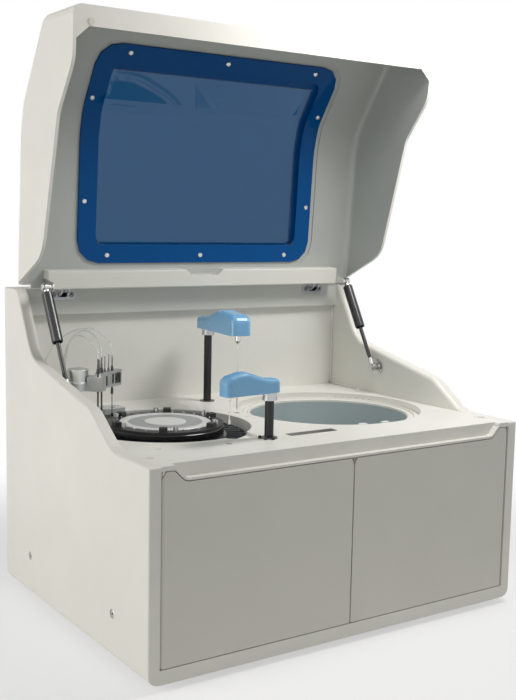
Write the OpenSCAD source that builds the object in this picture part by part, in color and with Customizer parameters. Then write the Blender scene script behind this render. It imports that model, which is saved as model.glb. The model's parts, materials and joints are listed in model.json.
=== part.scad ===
// Benchtop chemistry analyzer: cabinet with a work deck, two turntables, a sampling arm,
// a mixing arm, a washing station and a curved lid on gas struts. The lid stands open at rest.

/* [Cabinet] */
// Overall width
cabinet_width = 800; // [760:1:880]
// Overall depth
cabinet_depth = 600; // [580:1:680]
// Height of the rear beam, where the lid hinges
cabinet_height = 598; // [570:1:650]
// Height of the work deck
deck_height = 361; // [340:1:380]
// Thickness of the moulded side walls
side_wall = 24; // [20:1:28]
// Outer skin left beside the pockets in the side walls
side_skin = 6; // [4:0.5:9]
// Height of the rubber feet
foot_height = 12; // [8:1:20]
// Sheet metal
sheet = 3; // [2:0.5:4]

/* [Doors] */
// Door thickness
door_thickness = 12; // [9:1:15]
// Gap round each door
door_gap = 1.5; // [1:0.1:3]
// Finger pocket above the doors, height
pocket_height = 23; // [15:1:30]
// Finger pocket above the doors, depth
pocket_depth = 13; // [10:1:16]
// Hinge pin radius
door_pin_radius = 2.5; // [1.5:0.1:3.5]

/* [Lid] */
// Angle that the lid opens to
lid_open_angle = 86; // [75:1:90]
// Wall of the lid shell
lid_wall = 6; // [4:0.5:8]
// Gap between the closed lid and the cabinet
lid_gap = 2.5; // [2:0.1:4]
// Radius along the lid's side edges
lid_edge_radius = 15; // [10:1:20]
// Width of the window flange
window_width = 558; // [480:1:600]
// Thickness of the window
window_thickness = 4; // [3:0.5:5]
// Height of the window's outward bulge
bulge_height = 19; // [10:1:24]
// Distance of the gas struts inside the side walls
strut_inset = 15; // [14:0.5:20]

/* [Turntables] */
// Opening over the reaction disc, radius
disc_opening_radius = 158; // [156:1:162]
// Cuvettes in the ring
cuvette_count = 40; // [24:2:48]
// Radius of the cuvette circle
cuvette_circle_radius = 128; // [127:0.5:130]
// Opening over the reagent bowl, radius
bowl_opening_radius = 186; // [182:1:190]
// Reagent bowl, inner radius
bowl_radius = 160; // [150:1:165]
// Reagent bowl, depth
bowl_depth = 90; // [60:1:110]

/* [Arms] */
// Sampling arm, column axis to needle
rear_reach = 146.4; // [130:0.1:150]
// Mixing arm, column axis to paddle
front_reach = 86.2; // [80:0.1:92]
// Column radius
column_radius = 8; // [6:0.5:9]
// Running clearance of shafts in their bores
running_clearance = 0.06; // [0.03:0.01:0.1]

/* [Hidden] */

// driving places
fit_gap = 0.3;
inner_x = cabinet_width/2 - side_wall;
front_y = -cabinet_depth/2;
rear_y = cabinet_depth/2;
beam_y = rear_y - 60;
beam_height = 52;
rear_wall_y = rear_y - 46;
deck_plate = 4;
deck_bottom = deck_height - deck_plate;
disc_center = [-inner_x + 6 + disc_opening_radius, front_y + 290];
bowl_center = [inner_x - 20 - bowl_opening_radius, front_y + 295];

// outlines with rounded corners, and solids lofted through them
function unit(v) = v/norm(v);
function flat(p) = [p[0], p[1]];

// p holds corners [u, v, radius] counter-clockwise; d moves each edge inwards
function shift_edges(p, d) = [for (i = [0:len(p) - 1])
    let (n = len(p), h = (i + n - 1)%n, u = unit(flat(p[i]) - flat(p[h])),
        v = unit(flat(p[(i + 1)%n]) - flat(p[i])), det = u[0]*v[1] - u[1]*v[0],
        move = (v*d[h] - u*d[i])/det)
    [p[i][0] + move[0], p[i][1] + move[1],
        max(0.4, det > 0 ? p[i][2] - max(d[h], d[i]) : p[i][2] + min(d[h], d[i]))]];

function corner_arc(a, p, b, r, n) =
    let (u = unit(a - p), v = unit(b - p), half = acos(max(-1, min(1, u*v)))/2,
        reach = min(r, 0.45*min(norm(a - p), norm(b - p))*tan(half)), c = p + unit(u + v)*reach/sin(half),
        s = p + u*reach/tan(half) - c, e = p + v*reach/tan(half) - c,
        start = atan2(s[1], s[0]), turn = atan2(s[0]*e[1] - s[1]*e[0], s*e))
    [for (i = [0:n]) c + reach*[cos(start + turn*i/n), sin(start + turn*i/n)]];

function rounded(p, n = 4) = [for (i = [0:len(p) - 1]) each corner_arc(flat(p[(i + len(p) - 1)%len(p)]),
    flat(p[i]), flat(p[(i + 1)%len(p)]), p[i][2], n)];

// triangles of a flat outline, found by cutting off one ear after another
function turn_at(a, b, c) = (b[0] - a[0])*(c[1] - a[1]) - (b[1] - a[1])*(c[0] - a[0]);
function holds(a, b, c, q) = turn_at(a, b, q) >= 0 && turn_at(b, c, q) >= 0 && turn_at(c, a, q) >= 0;
function near(s, k) = [s[(k + len(s) - 1)%len(s)], s[k], s[(k + 1)%len(s)]];
function is_ear(p, s, k) = let (t = near(s, k), a = p[t[0]], b = p[t[1]], c = p[t[2]])
    turn_at(a, b, c) > 0.000001
        && len([for (j = s) if (j != t[0] && j != t[1] && j != t[2] && holds(a, b, c, p[j])) j]) == 0;
function next_ear(p, s, k = 0) = k >= len(s) ? 0 : is_ear(p, s, k) ? k : next_ear(p, s, k + 1);
function ears(p, s) = len(s) < 4 ? [s]
    : let (k = next_ear(p, s)) concat([near(s, k)], ears(p, [for (j = [0:len(s) - 1]) if (j != k) s[j]]));

// sections are [x, outline] with x rising and outlines in (y, z)
module skin(sections) {
    n = len(sections[0][1]);
    last = len(sections) - 1;
    points = [for (s = sections) for (p = s[1]) [s[0], p[0], p[1]]];
    walls = [for (k = [0:last - 1]) for (i = [0:n - 1])
        let (a = k*n + i, b = k*n + (i + 1)%n) each [[a, a + n, b + n], [a, b + n, b]]];
    indices = [for (i = [0:n - 1]) i];
    caps = concat(ears(sections[0][1], indices),
        [for (t = ears(sections[last][1], indices)) last*n*[1, 1, 1] + [t[2], t[1], t[0]]]);
    polyhedron(points, concat(caps, walls), convexity = 8);
}

// loft with quarter-round ends; side and face say how far an edge moves in at the end
module pillow(half, radius, outline, insets, arc = 4, steps = 3) {
    angles = [for (i = [steps:-1:0]) 90*i/steps];
    ends = [for (a = angles) [half - radius*(1 - sin(a)), 1 - cos(a)]];
    left = [for (e = ends) [-e[0], e[1]]];
    right = [for (i = [len(ends) - 1:-1:0]) ends[i]];
    skin([for (e = concat(left, right)) [e[0], rounded(shift_edges(outline, insets*e[1]), arc)]]);
}

module box(low, high) {
    translate(low)
        cube(high - low);
}

module mirrored_x() {
    children();
    mirror([1, 0, 0])
        children();
}

module along_x(x0, x1) {
    translate([x0, 0, 0])
        rotate([90, 0, 90])
            linear_extrude(x1 - x0)
                children();
}

module disc_x(x0, x1, y, z, r, sides = 40) {
    translate([x0, y, z])
        rotate([0, 90, 0])
            cylinder(r = r, h = x1 - x0, $fn = sides);
}

module tube_z(r_out, r_in, z0, z1, sides = 96) {
    translate([0, 0, z0])
        difference() {
            cylinder(r = r_out, h = z1 - z0, $fn = sides);
            translate([0, 0, -1])
                cylinder(r = r_in, h = z1 - z0 + 2, $fn = sides);
        }
}

module rod_z(x, y, z0, z1, r, sides = 32) {
    translate([x, y, z0])
        cylinder(r = r, h = z1 - z0, $fn = sides);
}

module soft_rect(x0, y0, x1, y1, r) {
    polygon(rounded([[x0, y0, r], [x1, y0, r], [x1, y1, r], [x0, y1, r]], 5));
}

// mating line between the lid and the side walls, front to rear
mating = [[front_y, deck_height, 4], [front_y + 128, deck_height, 60],
    [front_y + 212, deck_height + 57, 45],
    [rear_y - 135, deck_height + 112, 70], [rear_y - 64, cabinet_height, 22]];

// cabinet
panel_bottom_radius = 20;
panel_edge_radius = 3;
panel_top_radius = 8;
frame_strip = 21;
door_room = 4;

module side_panel() {
    outline = concat([[front_y, foot_height, 1], [rear_y, foot_height, 1], [rear_y, cabinet_height, 3]],
        [for (i = [4:-1:0]) mating[i]]);
    // edges: bottom, rear, top rear, slope, long rise, short rise, front flat, front
    outer = cabinet_width/2;
    bottom_x = outer - panel_bottom_radius;
    stations = [inner_x, inner_x + 1, inner_x + 3.5, inner_x + panel_top_radius,
        outer - 10, outer - 6, outer - panel_edge_radius, outer - 0.9, outer];
    function bottom_inset(x) = x <= bottom_x ? 0
        : panel_bottom_radius - sqrt(max(0, pow(panel_bottom_radius, 2) - pow(x - bottom_x, 2)));
    function edge_inset(x) = x <= outer - panel_edge_radius ? 0
        : panel_edge_radius - sqrt(max(0, pow(panel_edge_radius, 2) - pow(x - outer + panel_edge_radius,
            2)));
    function top_inset(x) = x >= inner_x + panel_top_radius ? 0
        : panel_top_radius - sqrt(max(0, pow(panel_top_radius, 2) - pow(inner_x + panel_top_radius - x,
            2)));
    difference() {
        skin([for (x = stations) let (b = bottom_inset(x), e = edge_inset(x), t = top_inset(x))
            [x, rounded(shift_edges(outline, [max(b, e), e, e, e + t, e + t, e + t, e, e]), 4)]]);
        // door rebate, inner pockets and rear rebate
        box([inner_x - 1, front_y - 1, foot_height + rail_height], [outer - frame_strip,
            front_y + door_thickness + door_room, deck_bottom - pocket_wall]);
        for (span = [[front_y + 40, -95], [-85, 85], [95, rear_y - 60]])
            box([inner_x - 1, span[0], foot_height + 30], [outer - side_skin, span[1], deck_height - 50]);
        disc_x(inner_x - 1, outer - 1.5, front_y + 125, foot_height + 80, 4);
        disc_x(outer - 2.5, outer + 1, front_y + 125, foot_height + 80, 8);
        disc_x(outer - 2.5, outer + 1, rear_y - 125, foot_height + 80, 8);
    }
}

module left_side_panel() {
    color([0.87, 0.86, 0.81])
        mirror([1, 0, 0])
            side_panel();
}

module right_side_panel() {
    color([0.87, 0.86, 0.81])
        side_panel();
}

rail_depth = 16;
rail_height = 24;

module base_pan() {
    color([0.85, 0.84, 0.79])
        difference() {
            union() {
                box([-inner_x, front_y + rail_depth, foot_height],
                    [inner_x, rear_y - sheet, foot_height + 4]);
                box([-inner_x, front_y, foot_height], [inner_x, front_y + rail_depth,
                    foot_height + rail_height]);
                mirrored_x()
                    box([inner_x - 20, front_y + 40, foot_height + 4],
                        [inner_x - 17, rear_y - 20, foot_height + 26]);
            }
            for (x = [-240:60:240])
                for (y = [front_y + 140, rear_y - 140])
                    translate([x, y, foot_height - 1])
                        linear_extrude(6)
                            soft_rect(-20, -4, 20, 4, 3.9);
            for (x = [-1, 1], y = [-1, 1])
                rod_z(x*(inner_x - 40), y*(rear_y - 60), foot_height - 1, foot_height + 5, 4);
        }
}

module feet() {
    color([0.12, 0.12, 0.12])
        for (x = [-1, 1], y = [-1, 1])
            translate([x*(inner_x - 40), y*(rear_y - 60), 0]) {
                rotate_extrude($fn = 48)
                    polygon([[0, 0], [17, 0], [19, 2], [21, foot_height], [0, foot_height]]);
                rod_z(0, 0, foot_height - 1, foot_height + 4, 3.9);
            }
}

module rear_panel() {
    color([0.82, 0.81, 0.77])
        difference() {
            box([-inner_x, rear_y - sheet, foot_height], [inner_x, rear_y, cabinet_height - beam_height]);
            for (bank = [-1, 1], i = [0:9])
                translate([bank*190, rear_y + 1, 110 + i*16])
                    rotate([90, 0, 0])
                        linear_extrude(sheet + 2)
                            soft_rect(-70, -3, 70, 3, 2.9);
            translate([inlet_x, rear_y + 1, inlet_z])
                rotate([90, 0, 0])
                    linear_extrude(sheet + 2)
                        soft_rect(-inlet_half[0], -inlet_half[1], inlet_half[0], inlet_half[1], 2);
        }
}

beam_wall = 2;
link_x = 305;
link_plate_z = cabinet_height - 13;
link_radius = 14;
link_half = 2.5;
link_thick = 3;
link_slot = [9, cabinet_height - 18, cabinet_height - 9];
plate_half = [28.5, 11];
plate_proud = 1.2;

module at_links() {
    for (side = [-1, 1])
        translate([side*link_x, 0, 0])
            children();
}

module rear_beam() {
    color([0.78, 0.79, 0.75])
        difference() {
            box([-inner_x, beam_y, cabinet_height - beam_height], [inner_x, rear_y, cabinet_height]);
            box([-inner_x + 3, beam_y + beam_wall, cabinet_height - beam_height + beam_wall],
                [inner_x - 3, rear_y - beam_wall, cabinet_height - beam_wall]);
            at_links()
                box([-link_slot[0], beam_y - 1, link_slot[1]], [link_slot[0], beam_y + 5, link_slot[2]]);
        }
}

module inner_rear_wall() {
    color([0.84, 0.83, 0.78])
        box([-inner_x, rear_wall_y, deck_height], [inner_x, rear_wall_y + sheet,
            cabinet_height - beam_height]);
}

// work deck
pocket_wall = 4;
collar_depth = 16;
collar_wall = 3;
well_radius = 6;
well_outer = well_radius + 2;
well_depth = 30;
deck_lip_x = inner_x - 21;
lip_bottom_x = inner_x - 42;
rear_column_place = [disc_center[0] + 202, disc_center[1] + 185];
front_column_place = [disc_center[0] + 100, disc_center[1] - 190];
probe_rest = rear_column_place + rear_reach*[cos(-97.9), sin(-97.9)];
paddle_rest = front_column_place + front_reach*[cos(184), sin(184)];
tube_holes = [[-inner_x + 19, rear_wall_y - 40], [-inner_x + 60, rear_wall_y - 48]];
scanner_place = [front_column_place[0] + 97, front_column_place[1] + 5.5];
scanner_half = [52, 10.5];
wash_center_angle = 135.5;
wash_column_radius = 168;
wash_column_place = disc_center + wash_column_radius*[cos(wash_center_angle), sin(wash_center_angle)];
wash_rod = 6;

module tongue_outline(grow) {
    offset(delta = grow)
        polygon(rounded([[disc_center[0] + 30, disc_center[1] - 140, 4],
            [disc_center[0] + 36, disc_center[1] - 162, 8],
            [disc_center[0] + 52, disc_center[1] - 173, 8], [front_column_place[0] - 14,
            front_column_place[1] + 14, 6],
            [front_column_place[0] - 6, front_column_place[1] + 28, 8],
            [disc_center[0] + 98, disc_center[1] - 100, 4]], 4));
}

// outline under the finger pocket, moved down by d; the door's edge follows the same line
function pocket_edge(d) = shift_edges([[0, foot_height, 1], [inner_x, foot_height, 1],
    [inner_x, deck_bottom, 1],
    [deck_lip_x - 2, deck_bottom, 12], [lip_bottom_x, deck_height - pocket_height, 14],
    [0, deck_height - pocket_height, 1]], [-d, -d, d, d, d, -d]);

module pocket_moulding() {
    back = front_y + pocket_depth;
    color([0.88, 0.87, 0.83]) {
        mirrored_x()
            translate([0, back + 1, 0])
                rotate([90, 0, 0])
                    linear_extrude(pocket_depth + 1)
                        difference() {
                            union() {
                                polygon(rounded(pocket_edge(0), 5));
                                polygon([[deck_lip_x, deck_height], [deck_lip_x - 3, deck_bottom - 0.5],
                                    [inner_x, deck_bottom - 0.5], [inner_x, deck_height]]);
                            }
                            polygon(rounded(pocket_edge(pocket_wall), 5));
                        }
        box([-inner_x, back, deck_bottom], [inner_x, back + pocket_wall, deck_height]);
        box([-lip_bottom_x - 20, back, deck_height - pocket_height - 12],
            [lip_bottom_x + 20, back + pocket_wall, deck_bottom + 1]);
    }
}

module wash_wells() {
    color([0.88, 0.87, 0.83])
        for (p = [probe_rest, paddle_rest])
            translate([p[0], p[1], deck_bottom])
                rotate_extrude($fn = 32)
                    polygon([[0, -well_depth], [well_outer, -well_depth], [well_outer, -2],
                        [well_outer + 3, -2], [well_outer + 3, 0], [well_outer, 0],
                        [well_outer, deck_plate], [well_radius, deck_plate],
                        [well_radius, 2 - well_depth], [0, 2 - well_depth]]);
}

module deck() {
    color([0.88, 0.87, 0.83])
        difference() {
            union() {
                box([-inner_x, front_y + pocket_depth + pocket_wall, deck_bottom],
                    [inner_x, rear_wall_y + sheet + 8, deck_height]);
                translate([disc_center[0], disc_center[1], 0])
                    tube_z(disc_opening_radius + collar_wall, disc_opening_radius,
                        deck_height - collar_depth,
                        deck_bottom + 1);
                translate([bowl_center[0], bowl_center[1], 0])
                    tube_z(bowl_opening_radius + collar_wall, bowl_opening_radius,
                        deck_height - collar_depth,
                        deck_bottom + 1);
                translate([0, 0, deck_height - 10])
                    linear_extrude(8)
                        difference() {
                            tongue_outline(3);
                            translate(disc_center)
                                circle(r = disc_opening_radius + 1, $fn = 96);
                        }
                for (x = [-240, 0, 240])
                    box([x - 1.5, rear_wall_y - 60, deck_height - 20],
                        [x + 1.5, rear_wall_y + 8, deck_bottom + 1]);
            }
            translate([disc_center[0], disc_center[1], deck_height - 50])
                cylinder(r = disc_opening_radius, h = 60, $fn = 96);
            translate([bowl_center[0], bowl_center[1], deck_height - 50])
                cylinder(r = bowl_opening_radius, h = 60, $fn = 96);
            translate([0, 0, deck_height - 6])
                linear_extrude(10)
                    tongue_outline(0);
            for (p = [probe_rest, paddle_rest])
                rod_z(p[0], p[1], deck_bottom - 1, deck_height + 1, well_outer + running_clearance);
            for (p = [rear_column_place, front_column_place])
                rod_z(p[0], p[1], deck_bottom - 10, deck_height + 1, bush_radius + running_clearance);
            for (p = tube_holes)
                rod_z(p[0], p[1], deck_bottom - 1, deck_height + 1, 8);
            for (q = [[19, -168, 12, 3], [-72, -176, 11, 3]])
                translate([disc_center[0] + q[0] - 38, disc_center[1] + q[1], deck_height - 1.5])
                    linear_extrude(3)
                        soft_rect(-q[2]/2, -q[3]/2, q[2]/2, q[3]/2, q[3]/2 - 0.1);
            translate([disc_center[0] + 181, disc_center[1] - 2, deck_height - 1.5])
                linear_extrude(3)
                    soft_rect(-7, -2, 7, 2, 1.9);
            translate([scanner_place[0], scanner_place[1], deck_height - 2])
                linear_extrude(3)
                    soft_rect(-scanner_half[0], -scanner_half[1], scanner_half[0], scanner_half[1], 3);
            rod_z(wash_column_place[0], wash_column_place[1], deck_bottom - 1, deck_height + 1,
                wash_rod + 0.02);
        }
}

bush_radius = column_radius + 3;

module column_bushes() {
    color([0.25, 0.25, 0.26])
        for (p = [rear_column_place, front_column_place])
            translate([p[0], p[1], 0]) {
                tube_z(bush_radius, column_radius + running_clearance, deck_bottom - 8, deck_height + 1,
                    48);
                tube_z(bush_radius + 4, column_radius + running_clearance, deck_height, deck_height + 2,
                    48);
            }
}

module deck_pads() {
    color([0.9, 0.89, 0.85])
        mirrored_x()
            rod_z(inner_x - 9, front_y + 62, deck_height, deck_height + 1, 7);
}

module scanner_window() {
    color([0.1, 0.1, 0.11])
        translate([scanner_place[0], scanner_place[1], deck_height - 2])
            linear_extrude(2.2)
                soft_rect(-scanner_half[0] + fit_gap, -scanner_half[1] + fit_gap,
                    scanner_half[0] - fit_gap, scanner_half[1] - fit_gap, 2.7);
}

// left turntable
bath_wall = 3;
bath_top = deck_height - collar_depth;
bath_inner = disc_opening_radius - 6;
bath_floor = bath_top - 50;
spindle_radius = 8;
boss_top = bath_top - 16;
ring_top = deck_height - 15;
ring_inner = 108.3;
ring_outer = bath_inner - 2;
disc_top = deck_height + 6;
clip_count = 6;
clip_start = -1;

module at_disc() {
    translate([disc_center[0], disc_center[1], 0])
        children();
}

module at_bowl() {
    translate([bowl_center[0], bowl_center[1], 0])
        children();
}

module incubation_bath() {
    color([0.7, 0.71, 0.7])
        at_disc()
            rotate_extrude($fn = 96)
                polygon([[spindle_radius + running_clearance, bath_floor - 4],
                    [bath_inner + bath_wall, bath_floor - 4],
                    [bath_inner + bath_wall, bath_top - 3], [disc_opening_radius + collar_wall + 2,
                    bath_top - 3],
                    [disc_opening_radius + collar_wall + 2, bath_top], [bath_inner, bath_top],
                    [bath_inner, bath_floor],
                    [22, bath_floor], [20, boss_top], [spindle_radius + running_clearance, boss_top]]);
}

module reaction_disc() {
    color([0.05, 0.05, 0.06])
        at_disc() {
            rotate_extrude($fn = 96)
                polygon([[0, bath_floor - 10], [spindle_radius, bath_floor - 10],
                    [spindle_radius, boss_top + fit_gap],
                    [18, boss_top + fit_gap], [20, ring_top - 10], [ring_inner + 4, ring_top - 10],
                    [ring_inner + 4, ring_top - 6], [ring_inner - 0.3, ring_top - 6],
                    [ring_inner - 0.3, disc_top - 6],
                    [ring_inner - 1.3, disc_top - 5], [100, disc_top - 5], [100, ring_top - 4],
                    [26, ring_top - 4],
                    [26, disc_top - 5], [0, disc_top - 5]]);
        }
}

module cuvette_ring() {
    color([0.16, 0.17, 0.18])
        at_disc()
            difference() {
                union() {
                    tube_z(ring_outer, ring_inner, ring_top - 6, ring_top - 2);
                    tube_z(ring_outer, ring_outer - 3, ring_top - 8, ring_top);
                    tube_z(ring_inner + 5, ring_inner, ring_top - 6, ring_top);
                    tube_z(cuvette_circle_radius + 5.5, cuvette_circle_radius - 5.5, ring_top - 30,
                        ring_top - 3);
                    for (i = [0:cuvette_count - 1])
                        rotate([0, 0, (i + 0.5)*360/cuvette_count])
                            box([ring_inner + 4, -0.9, ring_top - 3], [ring_outer - 2, 0.9, ring_top + 1]);
                }
                for (i = [0:cuvette_count - 1])
                    rotate([0, 0, i*360/cuvette_count])
                        box([cuvette_circle_radius - 3.5, -2, ring_top - 28],
                            [cuvette_circle_radius + 3.5, 2, ring_top]);
            }
}

module disc_cover() {
    color([0.9, 0.9, 0.9])
        at_disc()
            rotate_extrude($fn = 96)
                polygon([[0, disc_top - 5], [84, disc_top - 5], [84, disc_top], [83, disc_top + 1],
                    [68.5, disc_top + 1],
                    [68, disc_top], [38.5, disc_top], [38, disc_top + 1.2], [0, disc_top + 1.2]]);
}

module disc_clips() {
    color([0.03, 0.03, 0.03])
        at_disc() {
            tube_z(ring_inner - 1.5, 84 + fit_gap, disc_top - 5, disc_top);
            for (i = [0:clip_count - 1])
                rotate([0, 0, clip_start + i*360/clip_count])
                    difference() {
                        box([91, -7.3, disc_top - 1], [104, 7.3, disc_top + 8]);
                        translate([97.5, 0, disc_top + 4])
                            rotate([0, -28, 0])
                                box([2, -8, 1.5], [16, 8, 10]);
                    }
        }
}

module thumb_screws() {
    color([0.75, 0.75, 0.76])
        at_disc()
            for (i = [0:clip_count - 1]) {
                rotate([0, 0, clip_start + 13 + i*360/clip_count])
                    translate([96, 0, 0]) {
                        rod_z(0, 0, disc_top, disc_top + 2, 3, 24);
                        rod_z(0, 0, disc_top + 2, disc_top + 8, 4.6, 24);
                        rod_z(0, 0, disc_top + 8, disc_top + 9, 3.6, 24);
                    }
                for (a = [27, 41])
                    rotate([0, 0, clip_start + a + i*360/clip_count])
                        rod_z(94, 0, disc_top, disc_top + 2, 2.6, 20);
            }
}

// right turntable
bowl_top = deck_height - collar_depth;
bowl_wall = 3;
bowl_floor = bowl_top - bowl_depth;

module reagent_bowl() {
    color([0.62, 0.67, 0.7])
        at_bowl()
            rotate_extrude($fn = 120)
                polygon([[spindle_radius + running_clearance, bowl_floor - 4],
                    [bowl_radius + bowl_wall, bowl_floor - 4],
                    [bowl_radius + bowl_wall, bowl_top - 3], [bowl_opening_radius + collar_wall + 4,
                    bowl_top - 3],
                    [bowl_opening_radius + collar_wall + 4, bowl_top], [bowl_radius, bowl_top],
                    [bowl_radius, bowl_floor + 6], [bowl_radius - 6, bowl_floor], [24, bowl_floor],
                    [22, bowl_floor + 8], [spindle_radius + running_clearance, bowl_floor + 8]]);
}

module bowl_rim() {
    color([0.86, 0.86, 0.83])
        at_bowl() {
            rotate_extrude($fn = 120)
                polygon([[bowl_radius, bowl_top], [bowl_opening_radius - fit_gap, bowl_top],
                    [bowl_opening_radius - fit_gap, bowl_top + 4], [bowl_opening_radius - 11, bowl_top + 4],
                    [bowl_opening_radius - 12, bowl_top + 7], [bowl_opening_radius - 13, bowl_top + 7],
                    [bowl_opening_radius - 14, bowl_top + 3], [bowl_radius + 6, bowl_top + 3],
                    [bowl_radius + 5, bowl_top + 5], [bowl_radius + 1, bowl_top + 5],
                    [bowl_radius, bowl_top + 4]]);
            for (a = [-95, -82])
                rotate([0, 0, a])
                    box([bowl_radius - 0.5, -11, bowl_top + 2],
                        [bowl_opening_radius - 14, 11, bowl_top + 9]);
        }
}

module carousel_hub() {
    color([0.5, 0.52, 0.54])
        at_bowl()
            difference() {
                rotate_extrude($fn = 64)
                    polygon([[0, bowl_floor - 10], [spindle_radius, bowl_floor - 10],
                        [spindle_radius, bowl_floor + 8 + fit_gap], [40, bowl_floor + 8 + fit_gap],
                        [40, bowl_floor + 14], [20, bowl_floor + 17], [14, bowl_floor + 34],
                        [12, bowl_floor + 36],
                        [0, bowl_floor + 36]]);
                for (a = [0:60:300])
                    rotate([0, 0, a])
                        rod_z(31, 0, bowl_floor, bowl_floor + 20, 3);
            }
}

module drive_motors() {
    color([0.22, 0.22, 0.24])
        for (m = [[disc_center, bath_floor - 4], [bowl_center, bowl_floor - 4]])
            translate([m[0][0], m[0][1], m[1]])
                difference() {
                    union() {
                        rod_z(0, 0, -5, 0, 32, 48);
                        translate([0, 0, -55])
                            linear_extrude(50)
                                soft_rect(-28, -28, 28, 28, 6);
                        rod_z(0, 0, -60, -54, 11);
                    }
                    rod_z(0, 0, -8, 1, 12);
                }
}

// lift-and-swing arms
guide_radius = 4;
guide_span = 24;
guide_bottom = deck_height - 195;
carriage_low = deck_height - 112;
carriage_thick = 18;

module lift_guides() {
    color([0.6, 0.61, 0.63])
        for (p = [rear_column_place, front_column_place])
            translate([p[0], p[1], 0]) {
                for (s = [-1, 1])
                    rod_z(s*guide_span, 0, guide_bottom, deck_bottom, guide_radius);
                translate([0, 0, guide_bottom - 6])
                    linear_extrude(6)
                        soft_rect(-36, -16, 36, 16, 5);
            }
}

module carriage(place) {
    color([0.55, 0.56, 0.58])
        translate([place[0], place[1], carriage_low])
            difference() {
                linear_extrude(carriage_thick)
                    soft_rect(-34, -17, 34, 17, 6);
                rod_z(0, 0, -1, carriage_thick + 1, column_radius + running_clearance);
                for (s = [-1, 1])
                    rod_z(s*guide_span, 0, -1, carriage_thick + 1, guide_radius + running_clearance);
            }
}

module column(place, top) {
    color([0.04, 0.04, 0.05])
        translate([place[0], place[1], 0]) {
            rod_z(0, 0, carriage_low - 6, top, column_radius, 48);
            rod_z(0, 0, carriage_low - 4.3, carriage_low - fit_gap, column_radius + 4, 32);
            rod_z(0, 0, carriage_low + carriage_thick + fit_gap, carriage_low + carriage_thick + 4.3,
                column_radius + 4, 32);
        }
}

// arms are modelled along +X from the column axis
cover_wall = 2.4;
plate_thick = 3;

module arm_pose(place, angle, z) {
    translate([place[0], place[1], z])
        rotate([0, 0, angle])
            children();
}

module cover_shell(half, tail, nose, heights, hump, radius) {
    // heights: at the needle end, on the hump, past the hump, at the column end
    outline = [[-tail, 0, 0.5], [nose, 0, 0.5], [nose, heights[0], 15], [hump[0], heights[1], 40],
        [hump[1], heights[2], 45], [-tail, heights[3], 9]];
    rotate([0, 0, -90])
        difference() {
            pillow(half, radius, outline, radius*[0, 1, 0.9, 0.9, 0.9, 1], 4, 4);
            pillow(half - cover_wall, radius - cover_wall,
                shift_edges(outline, cover_wall*[-1, 1, 1, 1, 1, 1]),
                (radius - cover_wall)*[0, 1, 0.9, 0.9, 0.9, 1], 4, 4);
        }
}

module arm_collar(half, tail, nose, radius) {
    difference() {
        union() {
            rod_z(0, 0, -14, 0, column_radius + 4, 48);
            rod_z(0, 0, -14, -10, column_radius + 5, 48);
            linear_extrude(plate_thick)
                soft_rect(-tail + cover_wall + fit_gap, -half + cover_wall + fit_gap,
                    nose - cover_wall - fit_gap, half - cover_wall - fit_gap, radius - cover_wall);
            rod_z(0, 0, plate_thick - 1, 12, column_radius + 3, 32);
        }
        rod_z(0, 0, -15, 9, column_radius + 0.02, 48);
        translate([0, 0, -6])
            rotate([90, 0, 0])
                rod_z(0, 0, column_radius + 1, 20, 2.2, 20);
    }
}

rear_angle = -97.9;
rear_cover_z = deck_height + 153;
rear_half = 21;
rear_tail = 18;
rear_nose = rear_reach + 20;
rear_radius = 11;
front_angle = 184;
front_cover_z = deck_height + 81;
front_half = 15;
front_tail = 15;
front_nose = front_reach + 15;
front_radius = 9;

module rear_arm_cover() {
    color([0.41, 0.67, 0.86])
        arm_pose(rear_column_place, rear_angle, rear_cover_z)
            cover_shell(rear_half, rear_tail, rear_nose, [38, 46, 27, 24],
                [rear_reach*0.62, rear_reach*0.2],
                rear_radius);
}

module front_arm_cover() {
    color([0.41, 0.67, 0.86])
        arm_pose(front_column_place, front_angle, front_cover_z)
            cover_shell(front_half, front_tail, front_nose, [32, 41, 26, 24],
                [front_reach*0.7, front_reach*0.18],
                front_radius);
}

module rear_collar() {
    color([0.72, 0.72, 0.72])
        arm_pose(rear_column_place, rear_angle, rear_cover_z)
            difference() {
                arm_collar(rear_half, rear_tail, rear_nose, rear_radius);
                rod_z(rear_reach, 0, -1, plate_thick + 1, 4.52, 24);
            }
}

module front_collar() {
    color([0.72, 0.72, 0.72])
        arm_pose(front_column_place, front_angle, front_cover_z)
            difference() {
                arm_collar(front_half, front_tail, front_nose, front_radius);
                rod_z(front_reach, 0, -1, plate_thick + 1, 3.52, 24);
            }
}

module probe_needle() {
    color([0.82, 0.8, 0.74])
        arm_pose(rear_column_place, rear_angle, rear_cover_z)
            translate([rear_reach, 0, 0]) {
                rotate_extrude($fn = 32)
                    polygon([[0, 5 - rear_cover_z + deck_height], [0.5, 5.4 - rear_cover_z + deck_height],
                        [1, 12 - rear_cover_z + deck_height], [1, -17], [3.2, -15], [5.5, -11],
                        [5.5, -0.3], [4.5, -0.3],
                        [4.5, 14], [0, 14]]);
            }
}

module mixer_paddle() {
    color([0.3, 0.3, 0.32])
        arm_pose(front_column_place, front_angle, front_cover_z)
            translate([front_reach, 0, 0]) {
                rotate_extrude($fn = 32)
                    polygon([[0, 33 - front_cover_z + deck_height], [0.9, 33 - front_cover_z + deck_height],
                        [0.9, -9], [2.6, -8], [2.6, -3], [4.3, -2.5], [4.3, -0.3], [3.5, -0.3],
                        [3.5, 12], [0, 12]]);
                box([-2.1, -0.5, 33 - front_cover_z + deck_height],
                    [2.1, 0.5, 41 - front_cover_z + deck_height]);
            }
}

// washing station
wash_low = deck_height + 56;
wash_cap_low = deck_height + 69;
cap_radius = 20.5;
guide_offset = 13;
wash_guide = 2.5;
probe_angles = [113, 129, 137];

module at_wash() {
    translate([wash_column_place[0], wash_column_place[1], 0])
        rotate([0, 0, wash_center_angle])
            children();
}

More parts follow.
